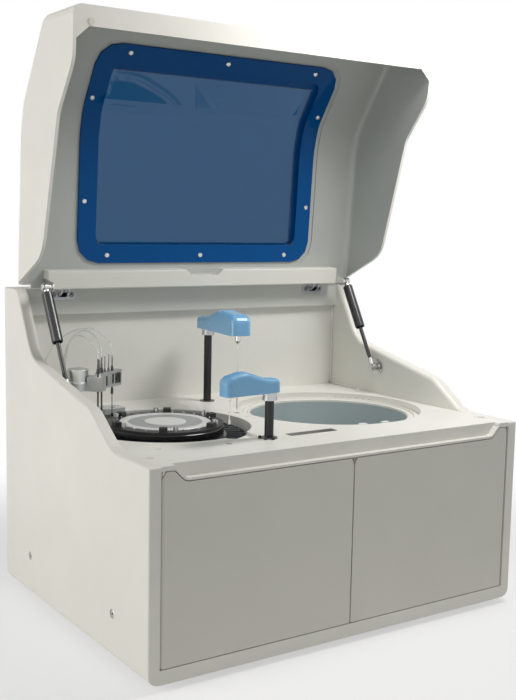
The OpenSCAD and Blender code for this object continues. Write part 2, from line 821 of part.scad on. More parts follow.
module wash_posts() {
    color([0.35, 0.36, 0.37])
        at_wash() {
            rod_z(0, 0, deck_bottom, wash_cap_low + 20, wash_rod);
            rod_z(0, 0, deck_height, deck_height + 3, wash_rod + 5);
            rod_z(guide_offset, 0, deck_height, wash_cap_low + 14, wash_guide);
        }
}

module wash_head() {
    color([0.62, 0.63, 0.62])
        difference() {
            union() {
                at_wash()
                    rod_z(0, 0, wash_low, wash_cap_low, cap_radius - 1.5, 48);
                at_disc() {
                    rotate([0, 0, 134])
                        box([cuvette_circle_radius - 9, -12, wash_low],
                            [wash_column_radius - 8, 12, wash_low + 27]);
                    rotate([0, 0, 120])
                        box([cuvette_circle_radius - 7, -39, wash_low + 3], [cuvette_circle_radius + 6, 30,
                            wash_low + 33]);
                }
            }
            at_wash() {
                rod_z(0, 0, wash_low - 1, wash_cap_low + 30, wash_rod + running_clearance);
                rod_z(guide_offset, 0, wash_low - 1, wash_cap_low + 1, wash_guide + running_clearance);
                rod_z(0, 0, wash_cap_low - 0.01, wash_cap_low + 60, cap_radius + 1);
            }
            at_disc() {
                rotate([0, 0, 120])
                    for (w = [[-36, -17, 8, 28], [-13, -7, 9, 27], [8, 13, 7, 25]])
                        box([cuvette_circle_radius - 8, w[0], wash_low + w[2]],
                            [cuvette_circle_radius - 4, w[1],
                            wash_low + w[3]]);
                for (a = probe_angles)
                    rotate([0, 0, a])
                        rod_z(cuvette_circle_radius, 0, wash_low - 1, wash_low + 40, 2.02, 24);
            }
        }
}

module wash_cap() {
    color([0.72, 0.72, 0.72])
        at_wash()
            difference() {
                rotate_extrude($fn = 64)
                    polygon([[0, wash_cap_low], [cap_radius, wash_cap_low], [cap_radius, wash_cap_low + 3],
                        [cap_radius - 1, wash_cap_low + 4], [cap_radius - 1, wash_cap_low + 26],
                        [cap_radius - 2, wash_cap_low + 27], [0, wash_cap_low + 27]]);
                rod_z(0, 0, wash_cap_low - 1, wash_cap_low + 22, wash_rod + running_clearance);
                rod_z(guide_offset, 0, wash_cap_low - 1, wash_cap_low + 16, wash_guide + running_clearance);
            }
}

module wash_nozzles() {
    color([0.3, 0.31, 0.32])
        at_disc()
            for (a = probe_angles) {
                first = a == probe_angles[0];
                rotate([0, 0, a])
                    translate([cuvette_circle_radius, 0, 0]) {
                        rod_z(0, 0, deck_height + 6, wash_low + 50, first ? 0.8 : 1.7, 20);
                        rod_z(0, 0, wash_low - 4, wash_low + 38, 2, 20);
                        if (first) {
                            rod_z(0, 0, wash_low - 12, wash_low - 2, 2.6, 20);
                            rod_z(0, 0, deck_height + 1, deck_height + 7, 2.6, 20);
                        }
                        else
                            rod_z(0, 0, deck_height - 8, deck_height + 8, 1, 16);
                        rod_z(0, 0, wash_low + 44, wash_low + 60, first ? 1 : 1.3, 16);
                    }
            }
}

module wash_block() {
    color([0.72, 0.73, 0.72])
        difference() {
            translate([disc_center[0], disc_center[1], deck_height])
                linear_extrude(11)
                    soft_rect(-58, 138, -10, 176, 4);
            at_disc()
                for (x = [-46, -22])
                    rod_z(x, 166, deck_height + 7, deck_height + 12, 3.5, 24);
            at_disc()
                rod_z(-34, 150, deck_height + 2, deck_height + 12, 5, 24);
        }
}

// tubes: a round path through points, as one mesh each
tube_radius = 1.5;
tube_sides = 8;

function smooth_path(p, n) = [for (i = [0:len(p) - 2]) each
    let (a = p[max(i - 1, 0)], b = p[i], c = p[i + 1], d = p[min(i + 2, len(p) - 1)])
    [for (k = [0:n - 1]) let (t = k/n) 0.5*(2*b + (c - a)*t + (2*a - 5*b + 4*c - d)*t*t
        + (3*b - a - 3*c + d)*t*t*t)], p[len(p) - 1]];

module tube_along(route, r) {
    p = smooth_path(route, 3);
    n = len(p);
    dir = [for (i = [0:n - 1]) unit(p[min(i + 1, n - 1)] - p[max(i - 1, 0)])];
    points = [for (i = [0:n - 1]) let (u = unit(cross(dir[i], [0.75, 0.66, 0.02])), v = cross(dir[i], u))
        each [for (k = [0:tube_sides - 1]) p[i] + r*(cos(360*k/tube_sides)*u + sin(360*k/tube_sides)*v)]];
    walls = [for (i = [0:n - 2], k = [0:tube_sides - 1])
        let (a = i*tube_sides + k, b = i*tube_sides + (k + 1)%tube_sides)
        each [[a, b, b + tube_sides], [a, b + tube_sides, a + tube_sides]]];
    last = (n - 1)*tube_sides;
    caps = concat([for (k = [1:tube_sides - 2]) [0, k + 1, k]],
        [for (k = [1:tube_sides - 2]) [last, last + k, last + k + 1]]);
    polyhedron(points, concat(walls, caps), convexity = 10);
}

function nozzle_top(i) = [disc_center[0] + cuvette_circle_radius*cos(probe_angles[i]),
    disc_center[1] + cuvette_circle_radius*sin(probe_angles[i]), wash_low + 60.3];

// route from a nozzle up and over into the deck: shares of the way in x and y, and a height above the nozzle
function tube_route(top, hole, over, low, bends) = [top, for (b = bends) [top[0] + (hole[0] - top[0])*b[0],
    top[1] + (hole[1] - top[1])*b[1], top[2] + b[2]], [hole[0], hole[1], deck_height + over],
    [hole[0], hole[1], low]];

module wash_tubes() {
    low = deck_height - 50;
    color([0.85, 0.87, 0.87, 0.5]) {
        tube_along(tube_route(nozzle_top(0), tube_holes[0], 70, low, [[0.01, 0.06, 22], [0.13, 0.28, 44],
            [0.34, 0.53, 48], [0.61, 0.74, 36], [0.86, 0.92, 6]]), tube_radius);
        tube_along(tube_route(nozzle_top(1), tube_holes[1] + [2, 0], 84, low,
            [[-0.09, 0.07, 20], [0.09, 0.33, 42],
            [0.56, 0.57, 44], [1.03, 0.81, 22]]), tube_radius);
        tube_along(tube_route(nozzle_top(2), tube_holes[1] + [-3, 2], 70, low,
            [[-0.15, 0.06, 16], [0.15, 0.28, 32],
            [0.6, 0.58, 36], [0.9, 0.84, 12]]), tube_radius);
    }
}

// doors
door_bottom = foot_height + rail_height + door_gap;
door_outer = cabinet_width/2 - frame_strip - door_gap;
door_inset = 6;
door_pivot = [door_outer - door_inset, front_y + door_inset];
pin_reach = 10;

notch = [4.5, 11];

module door() {
    edge = shift_edges(pocket_edge(pocket_wall + door_gap), [0, 0, 0, 0, 0,
        door_gap/2 + 0.5 + pocket_wall + door_gap]);
    high_top = deck_bottom - pocket_wall - door_gap;
    low_top = deck_height - pocket_height - pocket_wall - door_gap;
    start = door_gap/2 + 0.5;
    front_outline = [[start, door_bottom, 2], [door_outer, door_bottom, 3], [door_outer, high_top, 1],
        edge[3],
        edge[4], [start, low_top, 1]];
    back_y = front_y + door_thickness;
    difference() {
        union() {
            difference() {
                translate([0, back_y, 0])
                    rotate([90, 0, 0])
                        linear_extrude(door_thickness)
                            polygon(rounded(front_outline, 5));
                // bullnose along the hinge edge
                translate([door_outer - door_inset, front_y - 1, door_bottom - 1])
                    cube([door_inset + 1, door_thickness + 2, high_top]);
                box([14, front_y + 3, door_bottom + 14], [door_outer - 26, back_y + 1, low_top - 14]);
            }
            rod_z(door_pivot[0], door_pivot[1], door_bottom, high_top, door_inset, 40);
            for (x = [door_outer/3, 2*door_outer/3])
                box([x - 1.5, front_y + 2, door_bottom + 10], [x + 1.5, back_y - 1, low_top - 10]);
        }
        for (z = [door_bottom - 1, high_top - pin_reach])
            rod_z(door_pivot[0], door_pivot[1], z, z + pin_reach + 1, door_pin_radius + running_clearance);
        // finger notches at the top corners
        translate([0, front_y + 5, 0])
            rotate([90, 0, 0])
                linear_extrude(6) {
                    polygon([[start - 1, low_top + 1], [start + notch[0], low_top + 1],
                        [start + notch[0], low_top - 1],
                        [start, low_top - notch[1]], [start - 1, low_top - notch[1]]]);
                    polygon([[door_outer + 1, high_top + 1], [door_outer - 2*notch[0] + 2, high_top + 1],
                        [door_outer - 2*notch[0] + 2, high_top - 2], [door_outer - 1, high_top - notch[1]],
                        [door_outer + 1, high_top - notch[1]]]);
                }
    }
}

module left_door() {
    color([0.8, 0.79, 0.74])
        mirror([1, 0, 0])
            door();
}

module right_door() {
    color([0.8, 0.79, 0.74])
        door();
}

module door_pins() {
    color([0.6, 0.6, 0.6])
        mirrored_x() {
            rod_z(door_pivot[0], door_pivot[1], foot_height + rail_height, door_bottom + pin_reach - 1.5,
                door_pin_radius);
            rod_z(door_pivot[0], door_pivot[1], deck_bottom - pocket_wall - door_gap - pin_reach + 1,
                deck_bottom - pocket_wall, door_pin_radius);
        }
}

// rear connections and syringe pump
inlet_x = inner_x - 86;
inlet_z = 80;
inlet_half = [26, 40];
switch_pivot_y = rear_y - 4;

module power_inlet() {
    color([0.08, 0.08, 0.09])
        translate([inlet_x, 0, inlet_z])
            difference() {
                union() {
                    translate([0, rear_y, 0])
                        rotate([90, 0, 0])
                            linear_extrude(24)
                                soft_rect(-inlet_half[0] + fit_gap, -inlet_half[1] + fit_gap,
                                    inlet_half[0] - fit_gap,
                                    inlet_half[1] - fit_gap, 2);
                    translate([0, rear_y - sheet, 0])
                        rotate([90, 0, 0])
                            linear_extrude(2)
                                soft_rect(-inlet_half[0] - 5, -inlet_half[1] - 5, inlet_half[0] + 5,
                                    inlet_half[1] + 5, 4);
                }
                translate([0, rear_y + 1, -16])
                    rotate([90, 0, 0])
                        linear_extrude(16)
                            polygon([[-12.5, -9], [12.5, -9], [12.5, 4], [8, 9], [-8, 9], [-12.5, 4]]);
                box([-11, rear_y - 16, 8], [11, rear_y + 1, 34]);
            }
    color([0.7, 0.7, 0.7])
        translate([inlet_x, 0, inlet_z]) {
            for (x = [-7, 0, 7])
                box([x - 0.7, rear_y - 17, -19], [x + 0.7, rear_y - 3, -15 + (x == 0 ? 4 : 0)]);
            for (s = [-1, 1])
                disc_x(s == 1 ? 9.5 : -12, s == 1 ? 12 : -9.5, switch_pivot_y - 4, 21, 1.5, 20);
        }
}

module power_switch() {
    color([0.75, 0.12, 0.1])
        translate([inlet_x, switch_pivot_y - 4, inlet_z + 21])
            rotate([-6, 0, 0])
                difference() {
                    along_x(-10.4, 10.4)
                        polygon([[-4, -4], [3, -10.5], [5, -10.8], [3.2, 0], [5, 10.8], [3, 10.5],
                            [-4, 4]]);
                    for (s = [-1, 1])
                        disc_x(s == 1 ? 9.2 : -11, s == 1 ? 11 : -9.2, 0, 0, 1.5 + running_clearance, 20);
                }
}

pump_place = [inner_x - 130, front_y + 120];
pump_bottom = foot_height + 4;

module syringe_pump() {
    color([0.5, 0.52, 0.55])
        translate([pump_place[0], pump_place[1], pump_bottom]) {
            box([-30, -20, 0], [30, 30, 4]);
            box([-30, 10, 4], [30, 16, 170]);
            box([-24, -14, 120], [24, 10.01, 128]);
        }
    color([0.85, 0.9, 0.92, 0.5])
        translate([pump_place[0], pump_place[1], pump_bottom]) {
            tube_z(7, 5.5, 60, 120, 32);
            rod_z(0, 0, 128, 140, 3);
        }
}

module syringe_plunger() {
    color([0.3, 0.3, 0.32])
        translate([pump_place[0], pump_place[1], pump_bottom]) {
            rod_z(0, 0, 100, 106, 5.44, 32);
            rod_z(0, 0, 47, 101, 2.4, 24);
            translate([0, 0, 44])
                linear_extrude(4)
                    soft_rect(-14, -8, 14, 8, 2);
        }
}

// lid, modelled closed and turned open about its hinge
hinge = [beam_y, cabinet_height];
lid_front_y = front_y + 35;
lid_outline = [[lid_front_y, deck_height, 1], mating[1], mating[2], mating[3],
    [mating[4][0], mating[4][1], 1],
    [front_y + 250, cabinet_height, 120], [front_y + 193, cabinet_height - 10, 90],
    [front_y + 44, cabinet_height - 99, 24]];
lid_top_edges = [0, 0, 0, 0, 1, 1, 1, 1];
lid_low_edges = [1, 1, 1, 1, 0, 0, 0, 0];
lid_half = cabinet_width/2;

module lid_pose() {
    translate([0, hinge[0], hinge[1]])
        rotate([-lid_open_angle, 0, 0])
            translate([0, -hinge[0], -hinge[1]])
                children();
}

// bent strip that follows the lid: d1 and d2 are depths below the outer surface
function lid_corner(i, d) = flat(shift_edges(lid_outline, d*lid_top_edges)[i]);
slope_dir = unit(lid_corner(7, 0) - lid_corner(6, 0));
slope_in = [-slope_dir[1], slope_dir[0]];
function strip_start(y, d) = [y, cabinet_height - d];
function strip_end(t, d) = lid_corner(6, 0) + slope_dir*t + slope_in*d;
function strip(d1, d2, y0, t1, r) = [[each strip_end(t1, d2), r[0]], [each lid_corner(6, d2), 90 - d2],
    [each lid_corner(5, d2), 120 - d2], [each strip_start(y0, d2), r[0]], [each strip_start(y0, d1), r[1]],
    [each lid_corner(5, d1), 120 - d1], [each lid_corner(6, d1), 90 - d1], [each strip_end(t1, d1), r[1]]];
end_edges = [0, 0, 0, 1, 0, 0, 0, 1];
top_edges = [0, 0, 0, 0, 1, 1, 1, 0];

flange_start = hinge[0] - 49;
flange_end = 141;
flange_radius = 45;
step_width = 12;
step_depth = 2;
bulge_margin = 34;
bulge_radius = 22;
flange_top = lid_wall - step_depth;
flange_bottom = flange_top + window_thickness;
bulge_top = flange_top - bulge_height;

module lid_shell() {
    color([0.84, 0.84, 0.8])
        lid_pose()
            difference() {
                union() {
                    difference() {
                        pillow(lid_half, lid_edge_radius, shift_edges(lid_outline, lid_gap*lid_low_edges),
                            lid_edge_radius*lid_top_edges, 4, 3);
                        pillow(lid_half - lid_wall, lid_edge_radius - lid_wall/2,
                            shift_edges(lid_outline, lid_wall*lid_top_edges - 20*lid_low_edges),
                            (lid_edge_radius - lid_wall/2)*lid_top_edges, 4, 3);
                    }
                    translate([0, 0, deck_height + lid_gap])
                        linear_extrude(6)
                            polygon([[-lid_half + 15, lid_front_y + 3], [lid_half - 15, lid_front_y + 3],
                                [lid_half - 4, lid_front_y + 13], [lid_half - 4, lid_front_y + 58],
                                [lid_half - 29, lid_front_y + 35], [-lid_half + 29, lid_front_y + 35],
                                [-lid_half + 4, lid_front_y + 58], [-lid_half + 4, lid_front_y + 13]]);
                    box([-inner_x + 4, hinge[0] - 20, cabinet_height - lid_wall],
                        [inner_x - 4, hinge[0] - 1.5,
                        cabinet_height]);
                }
                pillow(window_width/2 + step_width, flange_radius + step_width,
                    strip(flange_top, lid_wall + 10, flange_start + step_width, flange_end + step_width,
                    [1, 1]),
                    (flange_radius + step_width)*end_edges, 2, 3);
                pillow(window_width/2 - bulge_margin + 1, bulge_radius + 1,
                    strip(-30, lid_wall + 10, flange_start - bulge_margin + 1,
                    flange_end - bulge_margin + 1, [1, 1]),
                    (bulge_radius + 1)*end_edges, 2, 3);
            }
}

module lid_window() {
    color([0.05, 0.3, 0.5, 0.6])
        lid_pose()
            difference() {
                union() {
                    pillow(window_width/2, flange_radius,
                        strip(flange_top, flange_bottom, flange_start, flange_end, [1, 1]),
                        flange_radius*end_edges, 2, 3);
                    pillow(window_width/2 - bulge_margin, bulge_radius,
                        strip(bulge_top, flange_bottom - 1, flange_start - bulge_margin,
                        flange_end - bulge_margin,
                            [1, 9]),
                        bulge_radius*end_edges + 12*top_edges, 3, 3);
                }
                pillow(window_width/2 - bulge_margin - window_thickness, bulge_radius - window_thickness,
                    strip(bulge_top + window_thickness, flange_bottom + 10,
                        flange_start - bulge_margin - window_thickness,
                        flange_end - bulge_margin - window_thickness,
                        [1, 6]),
                    (bulge_radius - window_thickness)*end_edges + 9*top_edges, 3, 3);
            }
}

slope_tilt = atan2(-slope_dir[1], -slope_dir[0]);

module screw_places() {
    half = window_width/2;
    for (x = [-half + 64, 0, half - 64])
        translate([x, flange_start - 16, cabinet_height - flange_bottom])
            children();
    for (side = [-1, 1])
        translate([side*(half - 12), flange_start - 121, cabinet_height - flange_bottom])
            children();
    for (x = [-half + 64, 0, half - 64])
        translate([x, each strip_end(flange_end - 16, flange_bottom)])
            rotate([slope_tilt, 0, 0])
                children();
    for (side = [-1, 1])
        translate([side*(half - 12), each strip_end(26, flange_bottom)])
            rotate([slope_tilt, 0, 0])
                children();
}

module window_screws() {
    color([0.75, 0.74, 0.72])
        lid_pose()
            screw_places()
                difference() {
                    rotate_extrude($fn = 28)
                        polygon([[0, -0.02], [5, -0.02], [5, -0.8], [3.6, -2.2], [0, -2.5]]);
                    translate([0, 0, -3])
                        cylinder(r = 1.5, h = 1.6, $fn = 6);
                }
}

bar_depth = 35.5;
bar_height = 26;
bar_half = inner_x - 29;
bar_top = cabinet_height - lid_wall;
leaf_half = [25, 9];
leaf_thick = 2;

module lid_rear_bar() {
    rear = hinge[0] - 1.5;
    front = rear - bar_depth;
    low = bar_top - bar_height;
    color([0.87, 0.86, 0.82])
        lid_pose()
            difference() {
                along_x(-bar_half, bar_half)
                    polygon([[front, bar_top], [front, low + 2], [front + 2, low], [rear - 2, low],
                        [rear, low + 2],
                        [rear, bar_top]]);
                translate([0, 0, low - 1])
                    linear_extrude(bar_height + 2)
                        polygon([[-46, front - 1], [46, front - 1], [31, front + 12], [-31, front + 12]]);
                at_links() {
                    box([-leaf_half[0] - fit_gap, rear - leaf_thick, link_plate_z - leaf_half[1] - fit_gap],
                        [leaf_half[0] + fit_gap, rear + 1, bar_top]);
                }
            }
}

module link_arm() {
    tail = -12;
    intersection() {
        difference() {
            disc_x(-link_thick/2, link_thick/2, hinge[0], hinge[1], link_radius + link_half, 64);
            disc_x(-2, 2, hinge[0], hinge[1], link_radius - link_half, 64);
        }
        along_x(-2, 2)
            polygon([hinge, hinge + 30*[cos(tail), sin(tail)], hinge + 45*[cos(-50), sin(-50)],
                [hinge[0] - 2, hinge[1] - 40], [hinge[0] - 2, hinge[1] - 1]]);
    }
}

module hinge_arms() {
    color([0.72, 0.72, 0.72])
        lid_pose()
            at_links() {
                box([-leaf_half[0], hinge[0] - 1.5 - leaf_thick, link_plate_z - leaf_half[1]],
                    [leaf_half[0], hinge[0] - 1.5, bar_top - fit_gap]);
                for (x = [-1, 1])
                    translate([x*(link_slot[0] - fit_gap - link_thick/2), 0, 0])
                        link_arm();
            }
}

module hinge_plates() {
    color([0.25, 0.25, 0.26])
        at_links()
            difference() {
                translate([0, beam_y, link_plate_z])
                    rotate([90, 0, 0])
                        linear_extrude(plate_proud)
                            soft_rect(-plate_half[0], -plate_half[1], plate_half[0], plate_half[1],
                                plate_half[1] - 0.1);
                box([-link_slot[0], beam_y - 4, link_slot[1]], [link_slot[0], beam_y + 1, link_slot[2]]);
                for (x = [-19, 19])
                    translate([x, beam_y + 1, link_plate_z])
                        rotate([90, 0, 0])
                            cylinder(r = 3, h = 4, $fn = 28);
            }
}

module lid_bumpers() {
    color([0.9, 0.89, 0.85])
        lid_pose()
            mirrored_x()
                rod_z(inner_x - 9, front_y + 62, deck_height + 1 + fit_gap, deck_height + lid_gap, 6);
}

// gas struts
strut_x = inner_x - strut_inset;
ball_place = [rear_y - 215, deck_height + 60];
pivot_closed = [hinge[0] - 9.5, cabinet_height - 51.5];
eye_half = 4.5;
pin_radius = 4;
pin_head = 6;
eye_radius = 8;
strut_rod_radius = 4.2;
cylinder_radius = 10.5;
cylinder_bore = 9.3;
cylinder_start = 96;
lid_arm = pivot_closed - hinge;
pivot_open = hinge + [lid_arm[0]*cos(lid_open_angle) + lid_arm[1]*sin(lid_open_angle),
    lid_arm[1]*cos(lid_open_angle) - lid_arm[0]*sin(lid_open_angle)];
strut_vector = pivot_open - ball_place;
strut_length = norm(strut_vector);
strut_angle = atan2(strut_vector[1], strut_vector[0]);

module strut_studs() {
    color([0.7, 0.7, 0.7])
        mirrored_x()
            difference() {
                union() {
                    disc_x(inner_x - 3, inner_x, ball_place[0], ball_place[1], 17);
                    disc_x(inner_x - 6, inner_x - 2, ball_place[0], ball_place[1], 8);
                    disc_x(strut_x - eye_half - 1, inner_x - 5, ball_place[0], ball_place[1], pin_radius);
                    disc_x(strut_x - eye_half - 3, strut_x - eye_half - fit_gap, ball_place[0],
                        ball_place[1], pin_head);
                }
                for (a = [45:90:315])
                    disc_x(inner_x - 4, inner_x - 1.5, ball_place[0] + 12.5*cos(a),
                        ball_place[1] + 12.5*sin(a), 2.4,
                        24);
            }
}

module strut_rod() {
    translate([strut_x, ball_place[0], ball_place[1]])
        rotate([strut_angle, 0, 0])
            difference() {
                union() {
                    disc_x(-eye_half, eye_half, 0, 0, eye_radius);
                    rotate([-90, 0, 0]) {
                        rod_z(0, 0, pin_head + 0.8, 20, 5.5);
                        rod_z(0, 0, 12, cylinder_start + 30, strut_rod_radius);
                    }
                }
                disc_x(-eye_half - 1, eye_half + 1, 0, 0, pin_radius + running_clearance);
            }
}

module strut_cylinder() {
    length = strut_length - cylinder_start;
    translate([strut_x, pivot_open[0], pivot_open[1]])
        rotate([strut_angle, 0, 0])
            difference() {
                union() {
                    disc_x(-eye_half, eye_half, 0, 0, eye_radius);
                    rotate([90, 0, 0]) {
                        rod_z(0, 0, pin_head + 0.8, 16, 5.5);
                        rotate_extrude($fn = 48)
                            polygon([[0, 12], [cylinder_radius - 1.5, 12], [cylinder_radius, 14],
                                [cylinder_radius, length - 2], [cylinder_radius - 1.2, length],
                                [0, length]]);
                    }
                }
                rotate([90, 0, 0])
                    rod_z(0, 0, 18, length + 1, cylinder_bore, 48);
                disc_x(-eye_half - 1, eye_half + 1, 0, 0, pin_radius + running_clearance);
            }
}

module strut_brackets() {
    low = bar_top - bar_height;
    color([0.72, 0.72, 0.72])
        lid_pose()
            mirrored_x() {
                difference() {
                    along_x(bar_half, bar_half + 3)
                        polygon(rounded([[pivot_closed[0] - 9, pivot_closed[1] - 9, 8],
                            [pivot_closed[0] + 8.5, pivot_closed[1] - 9, 8],
                            [pivot_closed[0] + 8, bar_top - 3, 3],
                            [pivot_closed[0] - 12, bar_top - 3, 3]], 5));
                    for (y = [-6, 5])
                        disc_x(bar_half - 1, bar_half + 4, pivot_closed[0] + y, low + 14, 2, 24);
                }
                disc_x(bar_half + 2, strut_x + eye_half + 1, pivot_closed[0], pivot_closed[1], pin_radius);
                disc_x(bar_half + 2, strut_x - eye_half - fit_gap, pivot_closed[0], pivot_closed[1],
                    pin_head);
                disc_x(strut_x + eye_half + fit_gap, strut_x + eye_half + 2.3, pivot_closed[0],
                    pivot_closed[1], pin_head);
            }
}

module left_strut_rod() {
    color([0.08, 0.08, 0.09])
        mirror([1, 0, 0])
            strut_rod();
}

module right_strut_rod() {
    color([0.08, 0.08, 0.09])
        strut_rod();
}

module left_strut_cylinder() {
    color([0.04, 0.04, 0.05])
        mirror([1, 0, 0])
            strut_cylinder();
}

module right_strut_cylinder() {
    color([0.04, 0.04, 0.05])
        strut_cylinder();
}

base_pan();
feet();
left_side_panel();
right_side_panel();
rear_panel();
rear_beam();
inner_rear_wall();
deck();
pocket_moulding();
wash_wells();
door_pins();
incubation_bath();
reagent_bowl();
bowl_rim();
drive_motors();
lift_guides();
column_bushes();
wash_block();
wash_posts();
hinge_plates();
strut_studs();
deck_pads();
scanner_window();
power_inlet();
syringe_pump();
left_door();
right_door();
reaction_disc();
cuvette_ring();
disc_cover();
disc_clips();
thumb_screws();
carousel_hub();
carriage(rear_column_place);  // rear_carriage
column(rear_column_place, rear_cover_z + 9);  // rear_column
rear_collar();
rear_arm_cover();
probe_needle();
carriage(front_column_place);  // front_carriage
column(front_column_place, front_cover_z + 9);  // front_column
front_collar();
front_arm_cover();
mixer_paddle();
wash_head();
wash_cap();
wash_nozzles();
wash_tubes();
lid_shell();
lid_rear_bar();
lid_window();
window_screws();
lid_bumpers();
hinge_arms();
strut_brackets();
left_strut_rod();
right_strut_rod();
left_strut_cylinder();
right_strut_cylinder();
power_switch();
syringe_plunger();
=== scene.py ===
import json
import math

import bmesh
import bpy
from mathutils import Matrix, Vector


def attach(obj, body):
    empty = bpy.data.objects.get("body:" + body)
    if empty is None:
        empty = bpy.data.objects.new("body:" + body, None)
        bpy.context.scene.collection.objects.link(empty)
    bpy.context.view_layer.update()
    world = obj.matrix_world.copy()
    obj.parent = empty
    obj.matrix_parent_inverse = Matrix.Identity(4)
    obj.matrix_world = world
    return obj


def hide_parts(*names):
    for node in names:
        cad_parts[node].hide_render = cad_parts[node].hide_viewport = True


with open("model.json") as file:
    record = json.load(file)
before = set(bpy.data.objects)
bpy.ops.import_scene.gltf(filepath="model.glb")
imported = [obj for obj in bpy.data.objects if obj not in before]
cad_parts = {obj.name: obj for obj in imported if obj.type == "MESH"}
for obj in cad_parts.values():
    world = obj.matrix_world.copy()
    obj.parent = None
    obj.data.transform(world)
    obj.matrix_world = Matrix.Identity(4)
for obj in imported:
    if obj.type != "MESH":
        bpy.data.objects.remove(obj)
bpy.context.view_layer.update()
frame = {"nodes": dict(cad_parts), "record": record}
nodes = frame["nodes"]
scene = bpy.context.scene
print("frame loaded:", len(nodes), "nodes")

discCentre = Vector((-0.212, -0.010, 0))
bowlCentre = Vector((0.170, -0.005, 0))
deckTop = 0.361
bothSides = (-1, 1)


# camera

cameraView = {
    "place": (-1.139, -1.678, 0.734),
    "yaw": 34.1,    # degrees to the right of +Y
    "pitch": 6.95,    # degrees downwards
    "roll": 1.11,
    "lens": 54.17,
    "sensor": 36,
}


def makeCamera(view):
    yaw, pitch, roll = (math.radians(view[k]) for k in ("yaw", "pitch", "roll"))
    ahead = Vector((math.sin(yaw)*math.cos(pitch), math.cos(yaw)*math.cos(pitch), -math.sin(pitch)))
    right = Vector((math.cos(yaw), -math.sin(yaw), 0))
    up = right.cross(ahead)
    x = right*math.cos(roll) + up*math.sin(roll)
    y = -right*math.sin(roll) + up*math.cos(roll)
    data = bpy.data.cameras.new("photoCamera")
    data.lens = view["lens"]
    data.sensor_width = view["sensor"]
    camera = bpy.data.objects.new("photoCamera", data)
    scene.collection.objects.link(camera)
    turn = Matrix((x, y, -ahead)).transposed().to_4x4()
    camera.matrix_world = Matrix.Translation(view["place"]) @ turn
    scene.camera = camera


makeCamera(cameraView)


# helpers for node trees

mixFirst, mixSecond, mixOutcome = 6, 7, 2    # the Mix node's colour sockets
noiseLow, noiseHigh = 0.3, 0.7    # most of a noise pattern lies between these
faintDrift = (0.97, 1.03)    # darkest and lightest share of a colour


def feed(tree, node, inputs):
    # an input takes another node's output or a plain value
    for key, value in inputs.items():
        socket = node.inputs[key]
        if isinstance(value, bpy.types.NodeSocket):
            tree.links.new(value, socket)
        elif socket.type == "RGBA":
            socket.default_value = (*value, 1)
        else:
            socket.default_value = value


def addNode(tree, kind, inputs=None, **settings):
    node = tree.nodes.new(kind)
    for key, value in settings.items():
        setattr(node, key, value)
    feed(tree, node, inputs or {})
    return node


def reckon(tree, operation, first, second=0):
    step = addNode(tree, "ShaderNodeMath", {0: first, 1: second}, operation=operation)
    return step.outputs["Value"]


def reckonVector(tree, operation, first, second=(0, 0, 0), outcome="Value"):
    step = addNode(tree, "ShaderNodeVectorMath", {0: first, 1: second}, operation=operation)
    return step.outputs[outcome]


def between(tree, source, low, high):
    # 1 where the source lies between low and high
    past = reckon(tree, "GREATER_THAN", source, low)
    before = reckon(tree, "LESS_THAN", source, high)
    return reckon(tree, "MULTIPLY", past, before)


def mixColours(tree, factor, first, second, blend="MIX"):
    mixed = addNode(tree, "ShaderNodeMix", {"Factor": factor, mixFirst: first, mixSecond: second},
                    data_type="RGBA", blend_type=blend)
    return mixed.outputs[mixOutcome]


def startFinish(name):
    finish = bpy.data.materials.new(name)
    finish.use_nodes = True
    tree = finish.node_tree
    shader = tree.nodes["Principled BSDF"]
    place = addNode(tree, "ShaderNodeTexCoord").outputs["Object"]
    return finish, tree, shader, place


def mappedNoise(tree, place, size, detail, roughness=0.5, stretch=(1, 1, 1)):
    # size is the pattern's wavelength in metres
    mapping = addNode(tree, "ShaderNodeMapping", {"Scale": stretch, "Vector": place})
    noise = addNode(tree, "ShaderNodeTexNoise", {
        "Scale": 1/size, "Detail": detail, "Roughness": roughness, "Vector": mapping.outputs["Vector"]})
    return noise.outputs["Fac"]


def spread(tree, source, low, high):
    ranged = addNode(tree, "ShaderNodeMapRange", {
        "Value": source, "From Min": noiseLow, "From Max": noiseHigh, "To Min": low, "To Max": high})
    return ranged.outputs["Result"]


def roughened(tree, source, look):
    return spread(tree, source, look["roughness"] - look["scuff"], look["roughness"] + look["scuff"])


def shade(colour, factor):
    return tuple(min(1.0, c*factor) for c in colour)


def drifting(tree, source, colour, low, high):
    # a tint that drifts between two shades of one colour
    return mixColours(tree, spread(tree, source, 0, 1), shade(colour, low), shade(colour, high))


def addBump(tree, shader, source, height, under=None):
    bump = addNode(tree, "ShaderNodeBump", {"Distance": height, "Height": source})
    if under is not None:
        tree.links.new(under, bump.inputs["Normal"])
    tree.links.new(bump.outputs["Normal"], shader.inputs["Normal"])
    return bump.outputs["Normal"]


# finishes

plainPlastic = {
    "cloud": 0.02,    # how far the tint drifts
    "cloudSize": 0.11,
    "scuff": 0.04,    # how far the roughness drifts
    "scuffSize": 0.02,
    "soften": 0.0007,    # radius that the shading gives to sharp edges
    "wave": 0.00006,
    "waveSize": 0.014,
    "grain": 0.00003,
    "grainSize": 0.0011,
    "ior": 1.5,
    "specular": 0.5,
    "coat": 0.0,
    "coatRoughness": 0.08,
}


